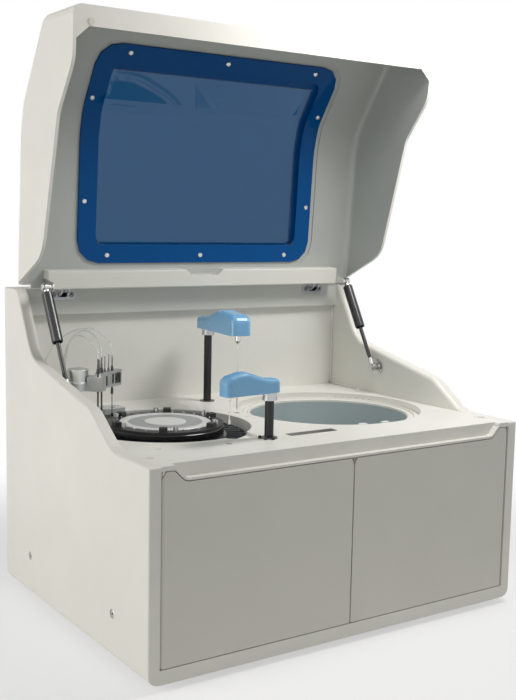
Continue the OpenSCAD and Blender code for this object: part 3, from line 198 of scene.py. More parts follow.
def mouldedPlastic(name, look):
    # moulded plastic: slow waviness, fine grain, faint cloudy tint
    look = {**plainPlastic, **look}
    finish, tree, shader, place = startFinish(name)
    cloud = mappedNoise(tree, place, look["cloudSize"], detail=4)
    scuff = mappedNoise(tree, place, look["scuffSize"], detail=6, roughness=0.7)
    soft = addNode(tree, "ShaderNodeBevel", {"Radius": look["soften"]}, samples=4)
    wave = mappedNoise(tree, place, look["waveSize"], detail=1)
    grain = mappedNoise(tree, place, look["grainSize"], detail=2)
    waved = addBump(tree, shader, wave, look["wave"], under=soft.outputs["Normal"])
    addBump(tree, shader, grain, look["grain"], under=waved)
    feed(tree, shader, {
        "Base Color": drifting(tree, cloud, look["colour"], 1 - look["cloud"], 1 + look["cloud"]),
        "Roughness": roughened(tree, scuff, look),
        "IOR": look["ior"],
        "Specular IOR Level": look["specular"],
        "Coat Weight": look["coat"],
        "Coat Roughness": look["coatRoughness"],
    })
    return finish


plainMetal = {
    "metallic": 1.0,
    "mark": 0.00002,    # depth of the brushing or turning marks
    "markSize": 0.0006,
    "stretch": (1, 1, 1),    # how many times finer the marks are along x, y and z
    "scuff": 0.06,
    "stainSize": 0.03,
    "stain": (0.93, 1.05),    # darkest and lightest share of the colour
}


def metal(name, look):
    look = {**plainMetal, **look}
    finish, tree, shader, place = startFinish(name)
    marks = mappedNoise(tree, place, look["markSize"], detail=3, stretch=look["stretch"])
    stain = mappedNoise(tree, place, look["stainSize"], detail=5)
    addBump(tree, shader, marks, look["mark"])
    feed(tree, shader, {
        "Base Color": drifting(tree, stain, look["colour"], *look["stain"]),
        "Roughness": roughened(tree, marks, look),
        "Metallic": look["metallic"],
    })
    return finish


finishes = {
    "cream_moulding": (mouldedPlastic, {"colour": (0.78, 0.77, 0.71), "roughness": 0.42}),
    "deck_moulding": (mouldedPlastic, {"colour": (0.80, 0.79, 0.74), "roughness": 0.38}),
    "door_sheet": (mouldedPlastic, {"colour": (0.68, 0.67, 0.61), "roughness": 0.36, "wave": 0.00003,
                                    "waveSize": 0.006, "cloud": 0.015}),
    "grey_sheet": (mouldedPlastic, {"colour": (0.60, 0.61, 0.57), "roughness": 0.4, "wave": 0.00003,
                                    "waveSize": 0.006}),
    "rubber": (mouldedPlastic, {"colour": (0.03, 0.03, 0.03), "roughness": 0.75, "specular": 0.3,
                                "cloud": 0.15}),
    "pale_rubber": (mouldedPlastic, {"colour": (0.70, 0.68, 0.60), "roughness": 0.6, "specular": 0.35}),
    "bright_steel": (metal, {"colour": (0.62, 0.62, 0.61), "roughness": 0.24}),
    "dark_steel": (metal, {"colour": (0.16, 0.16, 0.165), "roughness": 0.36}),
    "light_grey": (mouldedPlastic, {"colour": (0.52, 0.54, 0.54), "roughness": 0.42}),
    "bowl_liner": (mouldedPlastic, {"colour": (0.42, 0.48, 0.49), "roughness": 0.33, "cloud": 0.05}),
    "motor_black": (mouldedPlastic, {"colour": (0.03, 0.03, 0.033), "roughness": 0.4, "cloud": 0.1}),
    "bare_aluminium": (metal, {"colour": (0.50, 0.51, 0.52), "roughness": 0.33}),
    "black_plastic": (mouldedPlastic, {"colour": (0.016, 0.016, 0.018), "roughness": 0.4, "cloud": 0.15}),
    "gloss_black": (mouldedPlastic, {"colour": (0.008, 0.008, 0.009), "roughness": 0.14, "cloud": 0.15}),
    "cuvette_grey": (mouldedPlastic, {"colour": (0.05, 0.055, 0.06), "roughness": 0.25, "cloud": 0.12}),
    "white_plastic": (mouldedPlastic, {"colour": (0.80, 0.80, 0.80), "roughness": 0.3}),
    "column_black": (metal, {"colour": (0.018, 0.018, 0.02), "roughness": 0.33, "metallic": 0.3}),
    "arm_blue": (mouldedPlastic, {"colour": (0.17, 0.42, 0.68), "roughness": 0.25, "cloud": 0.04,
                                  "coat": 0.3}),
    "strut_black": (mouldedPlastic, {"colour": (0.012, 0.012, 0.014), "roughness": 0.28, "cloud": 0.2,
                                     "coat": 0.2}),
    "switch_red": (mouldedPlastic, {"colour": (0.45, 0.02, 0.015), "roughness": 0.25}),
}
made = {name: build(name, look) for name, (build, look) in finishes.items()}


def windowFlange(tree, place, look):
    # 1 on the flat frame round the bulge of the window
    parts = addNode(tree, "ShaderNodeSeparateXYZ", {"Vector": place}).outputs
    beside = reckon(tree, "GREATER_THAN", reckon(tree, "ABSOLUTE", parts["X"]), look["halfWidth"])
    below = reckon(tree, "LESS_THAN", parts["Z"], look["low"])
    above = reckon(tree, "GREATER_THAN", parts["Z"], look["high"])
    return reckon(tree, "MAXIMUM", reckon(tree, "MAXIMUM", beside, below), above)


def clearPlastic(name, look):
    finish, tree, shader, place = startFinish(name)
    haze = mappedNoise(tree, place, look["hazeSize"], detail=4)
    tint = drifting(tree, haze, look["colour"], *faintDrift)
    clear = look["clear"]
    if "flange" in look:
        flange = windowFlange(tree, place, look["flange"])
        tint = mixColours(tree, flange, tint, look["flange"]["colour"])
        clearRange = addNode(tree, "ShaderNodeMapRange", {
            "Value": flange, "To Min": look["clear"], "To Max": look["flange"]["clear"]})
        clear = clearRange.outputs["Result"]
    addBump(tree, shader, mappedNoise(tree, place, look["waveSize"], detail=1), look["wave"])
    feed(tree, shader, {
        "Base Color": tint,
        "Roughness": spread(tree, haze, *look["roughness"]),
        "Transmission Weight": clear,
        "IOR": look["ior"],
        "Specular IOR Level": look["specular"],
    })
    return finish


made["blue_acrylic"] = clearPlastic("blue_acrylic", {
    "colour": (0.006, 0.055, 0.14), "clear": 1.0, "ior": 1.49, "specular": 0.04,
    "roughness": (0.009, 0.024), "hazeSize": 0.05, "wave": 0.0003, "waveSize": 0.09,
    "flange": {"halfWidth": 0.2365, "low": 0.684, "high": 1.016, "colour": (0.0, 0.085, 0.30),
               "clear": 0.1}})
made["clear_tube"] = clearPlastic("clear_tube", {
    "colour": (0.86, 0.90, 0.90), "clear": 0.85, "ior": 1.42, "specular": 0.5,
    "roughness": (0.072, 0.192), "hazeSize": 0.05, "wave": 0.0, "waveSize": 0.09})
print("finishes:", len(made))


def giveFinish(node, finish):
    node.data.materials.clear()
    node.data.materials.append(finish)


slotOf = {row["node"]: row["material_slot"] for row in frame["record"]["subparts"]}
for name, node in nodes.items():
    giveFinish(node, made[slotOf[name]])
print("finishes on the packed nodes")


# finishes of single nodes

strutLine = {
    "lower": (0.085, 0.421),    # y and z of the stud on the cabinet
    "upper": (0.18796, 0.60388),    # y and z of the pin on the lid
    "eyeLength": 0.0215,    # bright part of the rod from the stud
    "clevisLength": 0.0125,    # bright part of the cylinder from the pin
    "beyond": 0.05,    # how far a bright part reaches past the stud or the pin
}
strutLook = {
    "dark": (0.018, 0.018, 0.02),
    "light": (0.66, 0.66, 0.65),
    "roughness": 0.27,
    "scuff": 0.07,
    "mark": 0.00003,
    "markSize": 0.004,
    "markShare": 0.35,    # how far the marks darken the tint
    "stretch": (1, 0.2, 0.12),
    "coat": 0.2,
}


def strutFinish(name, atPin, look):
    # satin black tube with a bright end fitting
    finish, tree, shader, place = startFinish(name)
    low, high = (Vector((0, *strutLine[key])) for key in ("lower", "upper"))
    length = (high - low).length
    away = reckonVector(tree, "SUBTRACT", place, low, "Vector")
    run = reckonVector(tree, "DOT_PRODUCT", away, (high - low).normalized())
    if atPin:
        bright = between(tree, run, length - strutLine["clevisLength"], length + strutLine["beyond"])
    else:
        bright = between(tree, run, -strutLine["beyond"], strutLine["eyeLength"])
    marks = mappedNoise(tree, place, look["markSize"], detail=4, stretch=look["stretch"])
    tint = mixColours(tree, bright, look["dark"], look["light"])
    addBump(tree, shader, marks, look["mark"])
    feed(tree, shader, {
        "Base Color": mixColours(tree, look["markShare"], tint, marks, "MULTIPLY"),
        "Metallic": bright,
        "Roughness": roughened(tree, marks, look),
        "Coat Weight": look["coat"],
    })
    return finish


for side in ("left", "right"):
    for part, atPin in (("rod", False), ("cylinder", True)):
        giveFinish(nodes[f"{side}_strut_{part}"], strutFinish(f"strut_{part}_{side}", atPin, strutLook))


def coverFinish(name, look):
    # white cover with a grey ring and a white middle
    finish, tree, shader, place = startFinish(name)
    flat = reckonVector(tree, "MULTIPLY", place, (1, 1, 0), "Vector")
    away = reckonVector(tree, "DISTANCE", flat, look["centre"])
    ring = between(tree, away, look["inner"], look["outer"])
    scuff = mappedNoise(tree, place, look["scuffSize"], detail=6, roughness=0.7)
    addBump(tree, shader, mappedNoise(tree, place, look["grainSize"], detail=2), look["grain"])
    feed(tree, shader, {
        "Base Color": mixColours(tree, ring, look["white"], look["grey"]),
        "Roughness": spread(tree, scuff, *look["roughness"]),
    })
    return finish


def lidWithPaintedShade(name, look):
    # moulded shell whose inner faces, turned towards its middle, are painted darker and greyer than the
    # outer ones: painted shade of the lid's inside
    finish = mouldedPlastic(name, look)
    tree = finish.node_tree
    shader = tree.nodes["Principled BSDF"]
    outer = shader.inputs["Base Color"].links[0].from_socket
    coordinates = addNode(tree, "ShaderNodeTexCoord").outputs
    fromMiddle = reckonVector(tree, "SUBTRACT", coordinates["Object"], look["middle"], "Vector")
    facing = reckonVector(tree, "DOT_PRODUCT", fromMiddle, coordinates["Normal"])
    cloud = mappedNoise(tree, coordinates["Object"], look["innerCloudSize"], detail=4)
    inner = drifting(tree, cloud, look["inner"], *faintDrift)
    # faces turned towards the middle take the darker colour, a painted shade
    inside = reckon(tree, "LESS_THAN", facing)
    feed(tree, shader, {"Base Color": mixColours(tree, inside, outer, inner)})
    return finish


giveFinish(nodes["wash_cap"], metal("brushedCap", {
    "colour": (0.60, 0.61, 0.60), "roughness": 0.34, "stretch": (1, 1, 14), "mark": 0.00003}))
giveFinish(nodes["wash_nozzles"], metal("nozzleDark", {"colour": (0.10, 0.10, 0.105), "roughness": 0.3}))
giveFinish(nodes["hinge_plates"], metal("hingeGrey", {"colour": (0.30, 0.31, 0.31), "roughness": 0.38}))
# inner: colour of the lid's inner faces, painted shade of the hood's inside
giveFinish(nodes["lid_shell"], lidWithPaintedShade("lidShell", {
    "colour": (0.78, 0.77, 0.71), "roughness": 0.42,
    "inner": (0.47, 0.49, 0.46), "innerCloudSize": 0.13, "middle": (0, 0.13, 0.83)}))
giveFinish(nodes["disc_cover"], coverFinish("discCover", {
    "centre": discCentre, "inner": 0.0385, "outer": 0.068,
    "white": (0.72, 0.72, 0.70), "grey": (0.33, 0.34, 0.34),
    "roughness": (0.26, 0.40), "scuffSize": 0.006, "grain": 0.00003, "grainSize": 0.0012}))
print("finishes of single nodes")


# helpers for new meshes

sharpAngle = 35    # degrees from which an edge stays sharp
onAxis = 1e-6    # a smaller radius closes a turned profile with one point
rodSteps = 16    # corners round a thin rod
anySide = Vector((0.31, 0.83, 0.47))    # a direction that no swept path takes


def closePiece(name, work, body, slotName):
    bmesh.ops.recalc_face_normals(work, faces=work.faces)
    mesh = bpy.data.meshes.new(name)
    work.to_mesh(mesh)
    work.free()
    mesh.materials.append(made[slotName])
    mesh.shade_smooth()
    mesh.set_sharp_from_angle(angle=math.radians(sharpAngle))
    piece = bpy.data.objects.new(name, mesh)
    scene.collection.objects.link(piece)
    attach(piece, body)


def circleRing(work, steps, pointAt):
    return [work.verts.new(pointAt(math.cos(2*math.pi*k/steps), math.sin(2*math.pi*k/steps)))
            for k in range(steps)]


def joinRings(work, rings, steps):
    # a ring of one point makes triangles
    for first, second in zip(rings, rings[1:]):
        for k in range(steps):
            n = (k + 1) % steps
            corners = [first[k % len(first)], first[n % len(first)], second[n % len(second)],
                       second[k % len(second)]]
            unique = list(dict.fromkeys(corners))
            if len(unique) > 2:
                work.faces.new(unique)


def addLathe(work, profile, place, direction=(0, 0, 1), steps=32):
    # profile of (radius, height) pairs turned about a line through place
    facing = Vector(direction).to_track_quat("Z", "Y").to_matrix().to_4x4()
    turn = Matrix.Translation(place) @ facing
    rings = []
    for r, height in profile:
        if r < onAxis:
            rings.append([work.verts.new(turn @ Vector((0, 0, height)))])
        else:
            rings.append(circleRing(work, steps, lambda x, y: turn @ Vector((r*x, r*y, height))))
    joinRings(work, rings, steps)


def addRod(work, start, end, radius):
    run = (end - start).length
    flat, soft = radius*0.7, radius*0.3    # radius of the flat end, and the slope round it
    addLathe(work, [(0, 0), (flat, 0), (radius, soft), (radius, run - soft), (flat, run), (0, run)],
             start, end - start, rodSteps)


def addTube(work, path, radius, steps):
    # closed round tube along a path of points
    rings = []
    for before, at, after in zip(path[:1] + path, path, path[1:] + path[-1:]):
        ahead = (after - before).normalized()
        side = ahead.cross(anySide).normalized()
        up = ahead.cross(side)
        rings.append(circleRing(work, steps, lambda x, y: at + (side*x + up*y)*radius))
    joinRings(work, rings, steps)
    work.faces.new(rings[0])
    work.faces.new(rings[-1])


def addBlock(work, size, place, turn, soften):
    # turn is in degrees about Z
    cube = bmesh.ops.create_cube(work, size=1.0)
    spin = Matrix.Rotation(math.radians(turn), 4, "Z")
    bmesh.ops.transform(work, matrix=Matrix.Translation(place) @ spin @ Matrix.Diagonal((*size, 1)),
                        verts=cube["verts"])
    edges = list({e for v in cube["verts"] for e in v.link_edges})
    bmesh.ops.bevel(work, geom=edges, offset=soften, segments=2, profile=0.5, affect="EDGES")


def outward(angle):
    a = math.radians(angle)
    return Vector((math.cos(a), math.sin(a), 0))


def ringSpot(centre, radius, angle, height):
    a = math.radians(angle)
    return Vector((centre[0] + radius*math.cos(a), centre[1] + radius*math.sin(a), height))


# node trees for what repeats

def startTree(name, sizes):
    tree = bpy.data.node_groups.new(name, "GeometryNodeTree")
    tree.interface.new_socket(name="Geometry", in_out="INPUT", socket_type="NodeSocketGeometry")
    for key, value in sizes.items():
        kind = "NodeSocketInt" if isinstance(value, int) else "NodeSocketFloat"
        tree.interface.new_socket(name=key, in_out="INPUT", socket_type=kind).default_value = value
    tree.interface.new_socket(name="Geometry", in_out="OUTPUT", socket_type="NodeSocketGeometry")
    return tree, tree.nodes.new("NodeGroupInput").outputs


def endTree(tree, geometry):
    feed(tree, tree.nodes.new("NodeGroupOutput"), {"Geometry": geometry})
    return tree


def addShape(tree, kind, inputs):
    return addNode(tree, kind, inputs).outputs["Mesh"]


def raised(tree, geometry, height):
    place = addNode(tree, "ShaderNodeCombineXYZ", {"Z": height}).outputs["Vector"]
    return addNode(tree, "GeometryNodeTransform", {
        "Geometry": geometry, "Translation": place}).outputs["Geometry"]


def painted(tree, geometry, finish, chosen=True):
    return addNode(tree, "GeometryNodeSetMaterial", {
        "Geometry": geometry, "Selection": chosen, "Material": finish}).outputs["Geometry"]


def storedValue(tree, name, kind):
    stored = addNode(tree, "GeometryNodeInputNamedAttribute", {"Name": name}, data_type=kind)
    return next(s for s in stored.outputs if s.enabled and s.name == "Attribute")


def onPoints(tree, points, geometry):
    # a copy stands on each point and faces along the point's "facing" attribute
    turn = addNode(tree, "FunctionNodeAlignRotationToVector", {
        "Vector": storedValue(tree, "facing", "FLOAT_VECTOR")}, axis="Z")
    put = addNode(tree, "GeometryNodeInstanceOnPoints", {
        "Points": points, "Instance": geometry, "Rotation": turn.outputs["Rotation"]})
    real = addNode(tree, "GeometryNodeRealizeInstances", {"Geometry": put.outputs["Instances"]})
    return real.outputs["Geometry"]


screwForm = {
    "corners": 28,
    "crown": 0.82,    # radius of the top, as a share of the radius
    "slope": 0.35,    # height of the sloped edge, as a share of the height
    "key": 0.1,    # thickness of the black hexagon, painted shade of the hex socket, as a share of the height
}


def screwTree(finish, socketShadeFinish):
    tree, given = startTree("screwHeads", {"Radius": 0.003, "Height": 0.001, "Recess": 0.45})
    radius, height = given["Radius"], given["Height"]

    def share(source, factor):
        return reckon(tree, "MULTIPLY", source, factor)

    head = addShape(tree, "GeometryNodeMeshCylinder", {
        "Vertices": screwForm["corners"], "Radius": radius, "Depth": height})
    edge = addShape(tree, "GeometryNodeMeshCone", {
        "Vertices": screwForm["corners"], "Radius Top": share(radius, screwForm["crown"]),
        "Radius Bottom": radius, "Depth": share(height, screwForm["slope"])})
    # a black hexagon on top of the head: painted shade of the hex socket
    key = addShape(tree, "GeometryNodeMeshCylinder", {
        "Vertices": 6, "Radius": share(radius, given["Recess"]),
        "Depth": share(height, screwForm["key"])})
    mark = addNode(tree, "GeometryNodeStoreNamedAttribute", {
        "Geometry": raised(tree, key, share(height, 1 + screwForm["slope"])), "Name": "dark"},
        data_type="BOOLEAN", domain="FACE")
    next(s for s in mark.inputs if s.enabled and s.name == "Value").default_value = True
    whole = addNode(tree, "GeometryNodeJoinGeometry")
    for part in (raised(tree, head, share(height, 0.5)), raised(tree, edge, height),
                 mark.outputs["Geometry"]):
        tree.links.new(part, whole.inputs["Geometry"])
    screws = painted(tree, onPoints(tree, given["Geometry"], whole.outputs["Geometry"]), finish)
    return endTree(tree, painted(tree, screws, socketShadeFinish, storedValue(tree, "dark", "BOOLEAN")))


def beadTree(finish):
    tree, given = startTree("beads", {"Radius": 0.0012, "Rings": 10, "Segments": 16})
    bead = addShape(tree, "GeometryNodeMeshUVSphere", {
        key: given[key] for key in ("Radius", "Rings", "Segments")})
    smooth = addNode(tree, "GeometryNodeSetShadeSmooth", {"Geometry": bead}).outputs["Geometry"]
    return endTree(tree, painted(tree, onPoints(tree, given["Geometry"], smooth), finish))


def barTree(finish):
    tree, given = startTree("bars", {"Length": 0.008, "Width": 0.001, "Height": 0.0004})
    size = addNode(tree, "ShaderNodeCombineXYZ", {
        "X": given["Width"], "Y": given["Height"], "Z": given["Length"]}).outputs["Vector"]
    bar = addShape(tree, "GeometryNodeMeshCube", {"Size": size})
    return endTree(tree, painted(tree, onPoints(tree, given["Geometry"], bar), finish))


def growPiece(name, tree, sizes, spots, body):
    # spots are (place, direction) pairs
    base = bpy.data.meshes.new(name)
    base.from_pydata([tuple(place) for place, direction in spots], [], [])
    facing = base.attributes.new("facing", "FLOAT_VECTOR", "POINT")
    for row, (place, direction) in zip(facing.data, spots):
        row.vector = Vector(direction).normalized()
    piece = bpy.data.objects.new(name, base)
    scene.collection.objects.link(piece)
    change = piece.modifiers.new("grow", "NODES")
    change.node_group = tree
    for item in tree.interface.items_tree:
        if item.in_out == "INPUT" and item.name in sizes:
            change[item.identifier] = sizes[item.name]
    plain = bpy.data.meshes.new_from_object(piece.evaluated_get(bpy.context.evaluated_depsgraph_get()))
    piece.modifiers.clear()
    piece.data = plain
    plain.name = name
    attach(piece, body)
    print(name, len(plain.polygons), "faces")


brightScrews = screwTree(made["bright_steel"], made["gloss_black"])
darkScrews = screwTree(made["dark_steel"], made["gloss_black"])


# screws of the strut flanges, hinge plates and side panels

strutScrews = {
    "circle": 0.0125,
    "angles": (45, 135, 225, 315),
    "seat": 0.3745,    # bottom of the recess, from the middle
    "sizes": {"Radius": 0.0021, "Height": 0.0011, "Recess": 0.5},
}
spots = []
for side in bothSides:
    for angle in strutScrews["angles"]:
        a = math.radians(angle)
        y = strutLine["lower"][0] + strutScrews["circle"]*math.cos(a)
        z = strutLine["lower"][1] + strutScrews["circle"]*math.sin(a)
        spots.append(((side*strutScrews["seat"], y, z), (-side, 0, 0)))
growPiece("strutFlangeScrews", brightScrews, strutScrews["sizes"], spots, "cabinet")

hingeScrews = {
    "plateX": 0.305,
    "offset": 0.019,    # to either side of the plate's middle
    "seat": (0.2396, 0.585),    # y and z
    "sizes": {"Radius": 0.0027, "Height": 0.0007, "Recess": 0.62},
}
hingeScrewRows = [side*hingeScrews["plateX"] + end*hingeScrews["offset"]
                  for side in bothSides for end in bothSides]
growPiece("hingePlateScrews", darkScrews, hingeScrews["sizes"],
          [((x, *hingeScrews["seat"]), (0, -1, 0)) for x in hingeScrewRows], "cabinet")

panelScrews = {
    "seat": 0.3976,
    "rows": (-0.175, 0.175),
    "height": 0.092,
    "sizes": {"Radius": 0.0062, "Height": 0.0014, "Recess": 0.42},
}
spots = [((side*panelScrews["seat"], y, panelScrews["height"]), (side, 0, 0))
         for side in bothSides for y in panelScrews["rows"]]
growPiece("sidePanelScrews", brightScrews, panelScrews["sizes"], spots, "cabinet")

# flat bosses round the hinge plate screws

hingeBosses = {"outer": 0.0062, "inner": 0.0031, "edge": 0.0003, "face": 0.2388, "proud": 0.0002}


def bossProfile(look):
    outer, inner, proud = look["outer"], look["inner"], look["proud"]
    return [(inner, 0), (outer, 0), (outer, proud*0.6), (outer - look["edge"], proud), (inner, proud),
            (inner, 0)]


work = bmesh.new()
for x in hingeScrewRows:
    addLathe(work, bossProfile(hingeBosses), (x, hingeBosses["face"], hingeScrews["seat"][1]), (0, -1, 0))
closePiece("hingePlateBosses", work, "cabinet", "dark_steel")


# washing station: black plates on the floors of the recesses in the head's face, painted shade of the
# recesses; extra needle tops and their sleeves

washRecessShade = {
    "turn": 120,    # degrees of the head's frame about the disc
    "depth": 0.1233,    # from the disc's centre
    "thick": 0.0009,
    "margin": 0.0006,
    "soften": 0.0003,
    "shadePlates": ((-0.036, -0.017, 0.425, 0.445), (-0.013, -0.007, 0.426, 0.444),
              (0.008, 0.013, 0.424, 0.442)),    # low and high across the head, bottom and top in z
}
# thin black plates at the recess floors: painted shade of the recesses
work = bmesh.new()
for low, high, bottom, top in washRecessShade["shadePlates"]:
    middle = (discCentre + outward(washRecessShade["turn"])*washRecessShade["depth"]
              + outward(washRecessShade["turn"] + 90)*(low + high)/2 + Vector((0, 0, (bottom + top)/2)))
    size = (washRecessShade["thick"], high - low - washRecessShade["margin"], top - bottom - washRecessShade["margin"])
    addBlock(work, size, middle, washRecessShade["turn"], washRecessShade["soften"])
closePiece("washHeadRecessShade", work, "washer", "gloss_black")

needleTops = {
    "circle": 0.128,
    "foot": 0.449,    # 1 mm inside the head
    "rows": ((118, 0.0009, 0.032, 0.002), (123.5, 0.0009, 0.030, 0.001), (133, 0.0011, 0.026, -0.001)),
    "collar": 0.0021,
    "collarShare": 0.22,
}
work = bmesh.new()
for angle, radius, length, lean in needleTops["rows"]:
    foot = ringSpot(discCentre, needleTops["circle"], angle, needleTops["foot"])
    rise = Vector((lean, lean, length))
    addRod(work, foot, foot + rise, radius)
    addRod(work, foot, foot + rise*needleTops["collarShare"], needleTops["collar"])
closePiece("washNeedleTops", work, "washer", "dark_steel")

nozzleSleeves = {
    "rows": ((113, 0.0026), (129, 0.0032), (137, 0.0032)),
    "low": 0.4505,
    "high": 0.4590,
    "bore": 0.0018,
    "step": 0.0005,
    "lip": 0.0009,
}


def sleeveProfile(radius, look):
    rise, bore, neck = look["high"] - look["low"], look["bore"], radius - look["step"]
    return [(bore, 0), (radius, 0), (radius, rise*0.4), (neck, rise*0.5), (neck, rise*0.9),
            (radius - look["lip"], rise), (bore, rise), (bore, 0)]


work = bmesh.new()
for angle, radius in nozzleSleeves["rows"]:
    addLathe(work, sleeveProfile(radius, nozzleSleeves),
             ringSpot(discCentre, needleTops["circle"], angle, nozzleSleeves["low"]))
closePiece("nozzleSleeves", work, "washer", "black_plastic")


# turntable: beads between the clips

discBeads = {"circle": 0.0885, "height": 0.3681, "count": 24, "start": 7.5, "sizes": {"Radius": 0.0014}}
spots = [(ringSpot(discCentre, discBeads["circle"], 360*k/discBeads["count"] + discBeads["start"],
                   discBeads["height"]), (0, 0, 1)) for k in range(discBeads["count"])]
growPiece("discBeads", beadTree(made["bright_steel"]), discBeads["sizes"], spots, "turntable")


# bowl: white tabs at the front of the rim and notch marks at its back right

def blocksOnRing(look, centre):
    work = bmesh.new()
    for angle in look["angles"]:
        addBlock(work, look["size"], ringSpot(centre, look["circle"], angle, look["height"]), angle,
                 look["soften"])
    return work


bowlTabs = {"circle": 0.1625, "angles": (-104, -86), "size": (0.009, 0.016, 0.0045), "height": 0.3560,
            "soften": 0.0008}
closePiece("bowlTabs", blocksOnRing(bowlTabs, bowlCentre), "cabinet", "white_plastic")

rimMarks = {"circle": 0.177, "angles": (22, 27, 32, 37, 42, 47), "height": 0.3541,
            "sizes": {"Length": 0.009, "Width": 0.0006, "Height": 0.0011}}
spots = [(ringSpot(bowlCentre, rimMarks["circle"], angle, rimMarks["height"]), outward(angle))
         for angle in rimMarks["angles"]]
growPiece("rimMarks", barTree(made["gloss_black"]), rimMarks["sizes"], spots, "cabinet")


# arms: cream plug under the sampling arm and base clips of the mixing arm's column

armPlug = {
    "place": (-0.0078, 0.1908, 0.4985),
    "profile": ((0, 0), (0.0042, 0), (0.0050, 0.0008), (0.0050, 0.0100), (0.0044, 0.0112),
                (0.0044, 0.0155), (0, 0.0155)),
}
work = bmesh.new()
addLathe(work, armPlug["profile"], armPlug["place"])
closePiece("armPlug", work, "probe_arm", "cream_moulding")

columnClips = {"centre": (-0.112, -0.200), "circle": 0.0165, "height": 0.3635, "angles": (160, 215, 262),
               "size": (0.005, 0.0045, 0.005), "soften": 0.0007}
closePiece("columnClips", blocksOnRing(columnClips, columnClips["centre"]), "cabinet", "black_plastic")


# light beads down the rear corners of the work space and forward along the deck, each with an end button

wallBeads = {
    "corner": (0.3752, 0.2532),    # x and y of the corner's walls
    "radius": 0.0021,
    "steps": 12,
    "standOff": 0.6,    # of the radius, from the walls
    "top": 0.545,
    "straight": 0.45,
    "bend": 0.012,
    "foot": 0.3628,
    "forward": 0.150,
    "button": ((0, 0), (0.0042, 0), (0.0042, 0.002), (0.00294, 0.0042), (0, 0.005)),
    "buttonIn": 0.0008,
}


def beadPath(side, look):
    inwards, bend = look["radius"]*look["standOff"], look["bend"]
    x, y = side*(look["corner"][0] - inwards), look["corner"][1] - inwards
    path = [Vector((x, y, look["top"])), Vector((x, y, look["straight"]))]
    for t in range(0, 91, 15):
        a = math.radians(t)
        path.append(Vector((x, y - bend*(1 - math.cos(a)), look["foot"] + bend*(1 - math.sin(a)))))
    return path + [Vector((x, look["forward"], look["foot"]))]


work = bmesh.new()
for side in bothSides:
    path = beadPath(side, wallBeads)
    addTube(work, path, wallBeads["radius"], wallBeads["steps"])
    button = (path[0].x - side*wallBeads["buttonIn"], wallBeads["forward"], deckTop)
    addLathe(work, wallBeads["button"], button, steps=20)
closePiece("wallBeads", work, "cabinet", "deck_moulding")


# curved raised lines beside the deck's pads

padLines = {
    "centre": (0.363, -0.238),
    "reach": (0.0081, 0.0135),    # half width and half depth of the curve
    "radius": 0.0007,
    "steps": 8,
    "height": 0.3612,
    "angles": range(20, 161, 10),    # degrees, on the left side
}
work = bmesh.new()
for side in bothSides:
    path = []
    for angle in padLines["angles"]:
        a = math.radians(angle if side < 0 else 180 - angle)
        x = side*padLines["centre"][0] + padLines["reach"][0]*math.cos(a)
        y = padLines["centre"][1] + padLines["reach"][1]*math.sin(a)
        path.append(Vector((x, y, padLines["height"])))
    addTube(work, path, padLines["radius"], padLines["steps"])
closePiece("padLines", work, "cabinet", "deck_moulding")
print("small pieces")


# washing tubes

washTubes = {
    "diameter": 0.003,
    "steps": 10,    # curve points for each stretch of the route
    "nozzleTop": 0.4773,
    "deckReach": 0.050,    # how far a tube goes on below the deck
}
# a row's angle is that of its nozzle, and over is its height above the hole in the deck
# rises are shares of the way to the hole in x and y, and metres above the nozzle
tubeRows = {
    "washTubeOuter": {"angle": 113, "hole": (-0.357, 0.214), "over": 0.070, "rises": (
        (0.01, 0.06, 0.022), (0.13, 0.28, 0.044), (0.34, 0.53, 0.048), (0.61, 0.74, 0.036),
        (0.86, 0.92, 0.006))},
    "washTubeMiddle": {"angle": 129, "hole": (-0.314, 0.206), "over": 0.084, "rises": (
        (-0.09, 0.07, 0.020), (0.09, 0.33, 0.042), (0.56, 0.57, 0.044), (1.03, 0.81, 0.022))},
    "washTubeInner": {"angle": 137, "hole": (-0.319, 0.208), "over": 0.070, "rises": (
        (-0.15, 0.06, 0.016), (0.15, 0.28, 0.032), (0.6, 0.58, 0.036), (0.9, 0.84, 0.012))},
}


def tubeRoute(row):
    top = ringSpot(discCentre, needleTops["circle"], row["angle"], washTubes["nozzleTop"])
    hole = Vector((*row["hole"], deckTop))
    way = hole - top
    route = [top]
    for shareX, shareY, rise in row["rises"]:
        route.append(top + Vector((way.x*shareX, way.y*shareY, rise)))
    return route + [hole + Vector((0, 0, row["over"])), hole - Vector((0, 0, washTubes["deckReach"]))]


def smoothRoute(points, steps):
    # a curve through the points, whose direction at each follows its neighbours
    out = []
    last = len(points) - 1
    for i in range(last):
        a, b, c, d = points[max(i - 1, 0)], points[i], points[i + 1], points[min(i + 2, last)]
        for k in range(steps):
            t = k/steps
            out.append(0.5*(2*b + (c - a)*t + (2*a - 5*b + 4*c - d)*t*t + (3*b - a - 3*c + d)*t**3))
    return out + [points[last]]


def routeLength(points):
    return sum((b - a).length for a, b in zip(points, points[1:]))


def makeTube(name, route, diameter, finish):
    curve = bpy.data.curves.new(name, "CURVE")
    curve.dimensions = "3D"
    curve.bevel_depth = diameter/2
    curve.bevel_resolution = 4
    curve.use_fill_caps = True
    spline = curve.splines.new("POLY")
    spline.points.add(len(route) - 1)
    for point, at in zip(spline.points, route):
        point.co = (*at, 1)
    curve.materials.append(finish)
    tube = bpy.data.objects.new(name, curve)
    scene.collection.objects.link(tube)
    return tube


for name, row in tubeRows.items():
    route = smoothRoute(tubeRoute(row), washTubes["steps"])
    tube = makeTube(name, route, washTubes["diameter"], made["clear_tube"])
    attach(tube, "washer")
    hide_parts("wash_tubes")
    print(name, round(routeLength(route), 4), "m")


# floor, backdrop and lamps

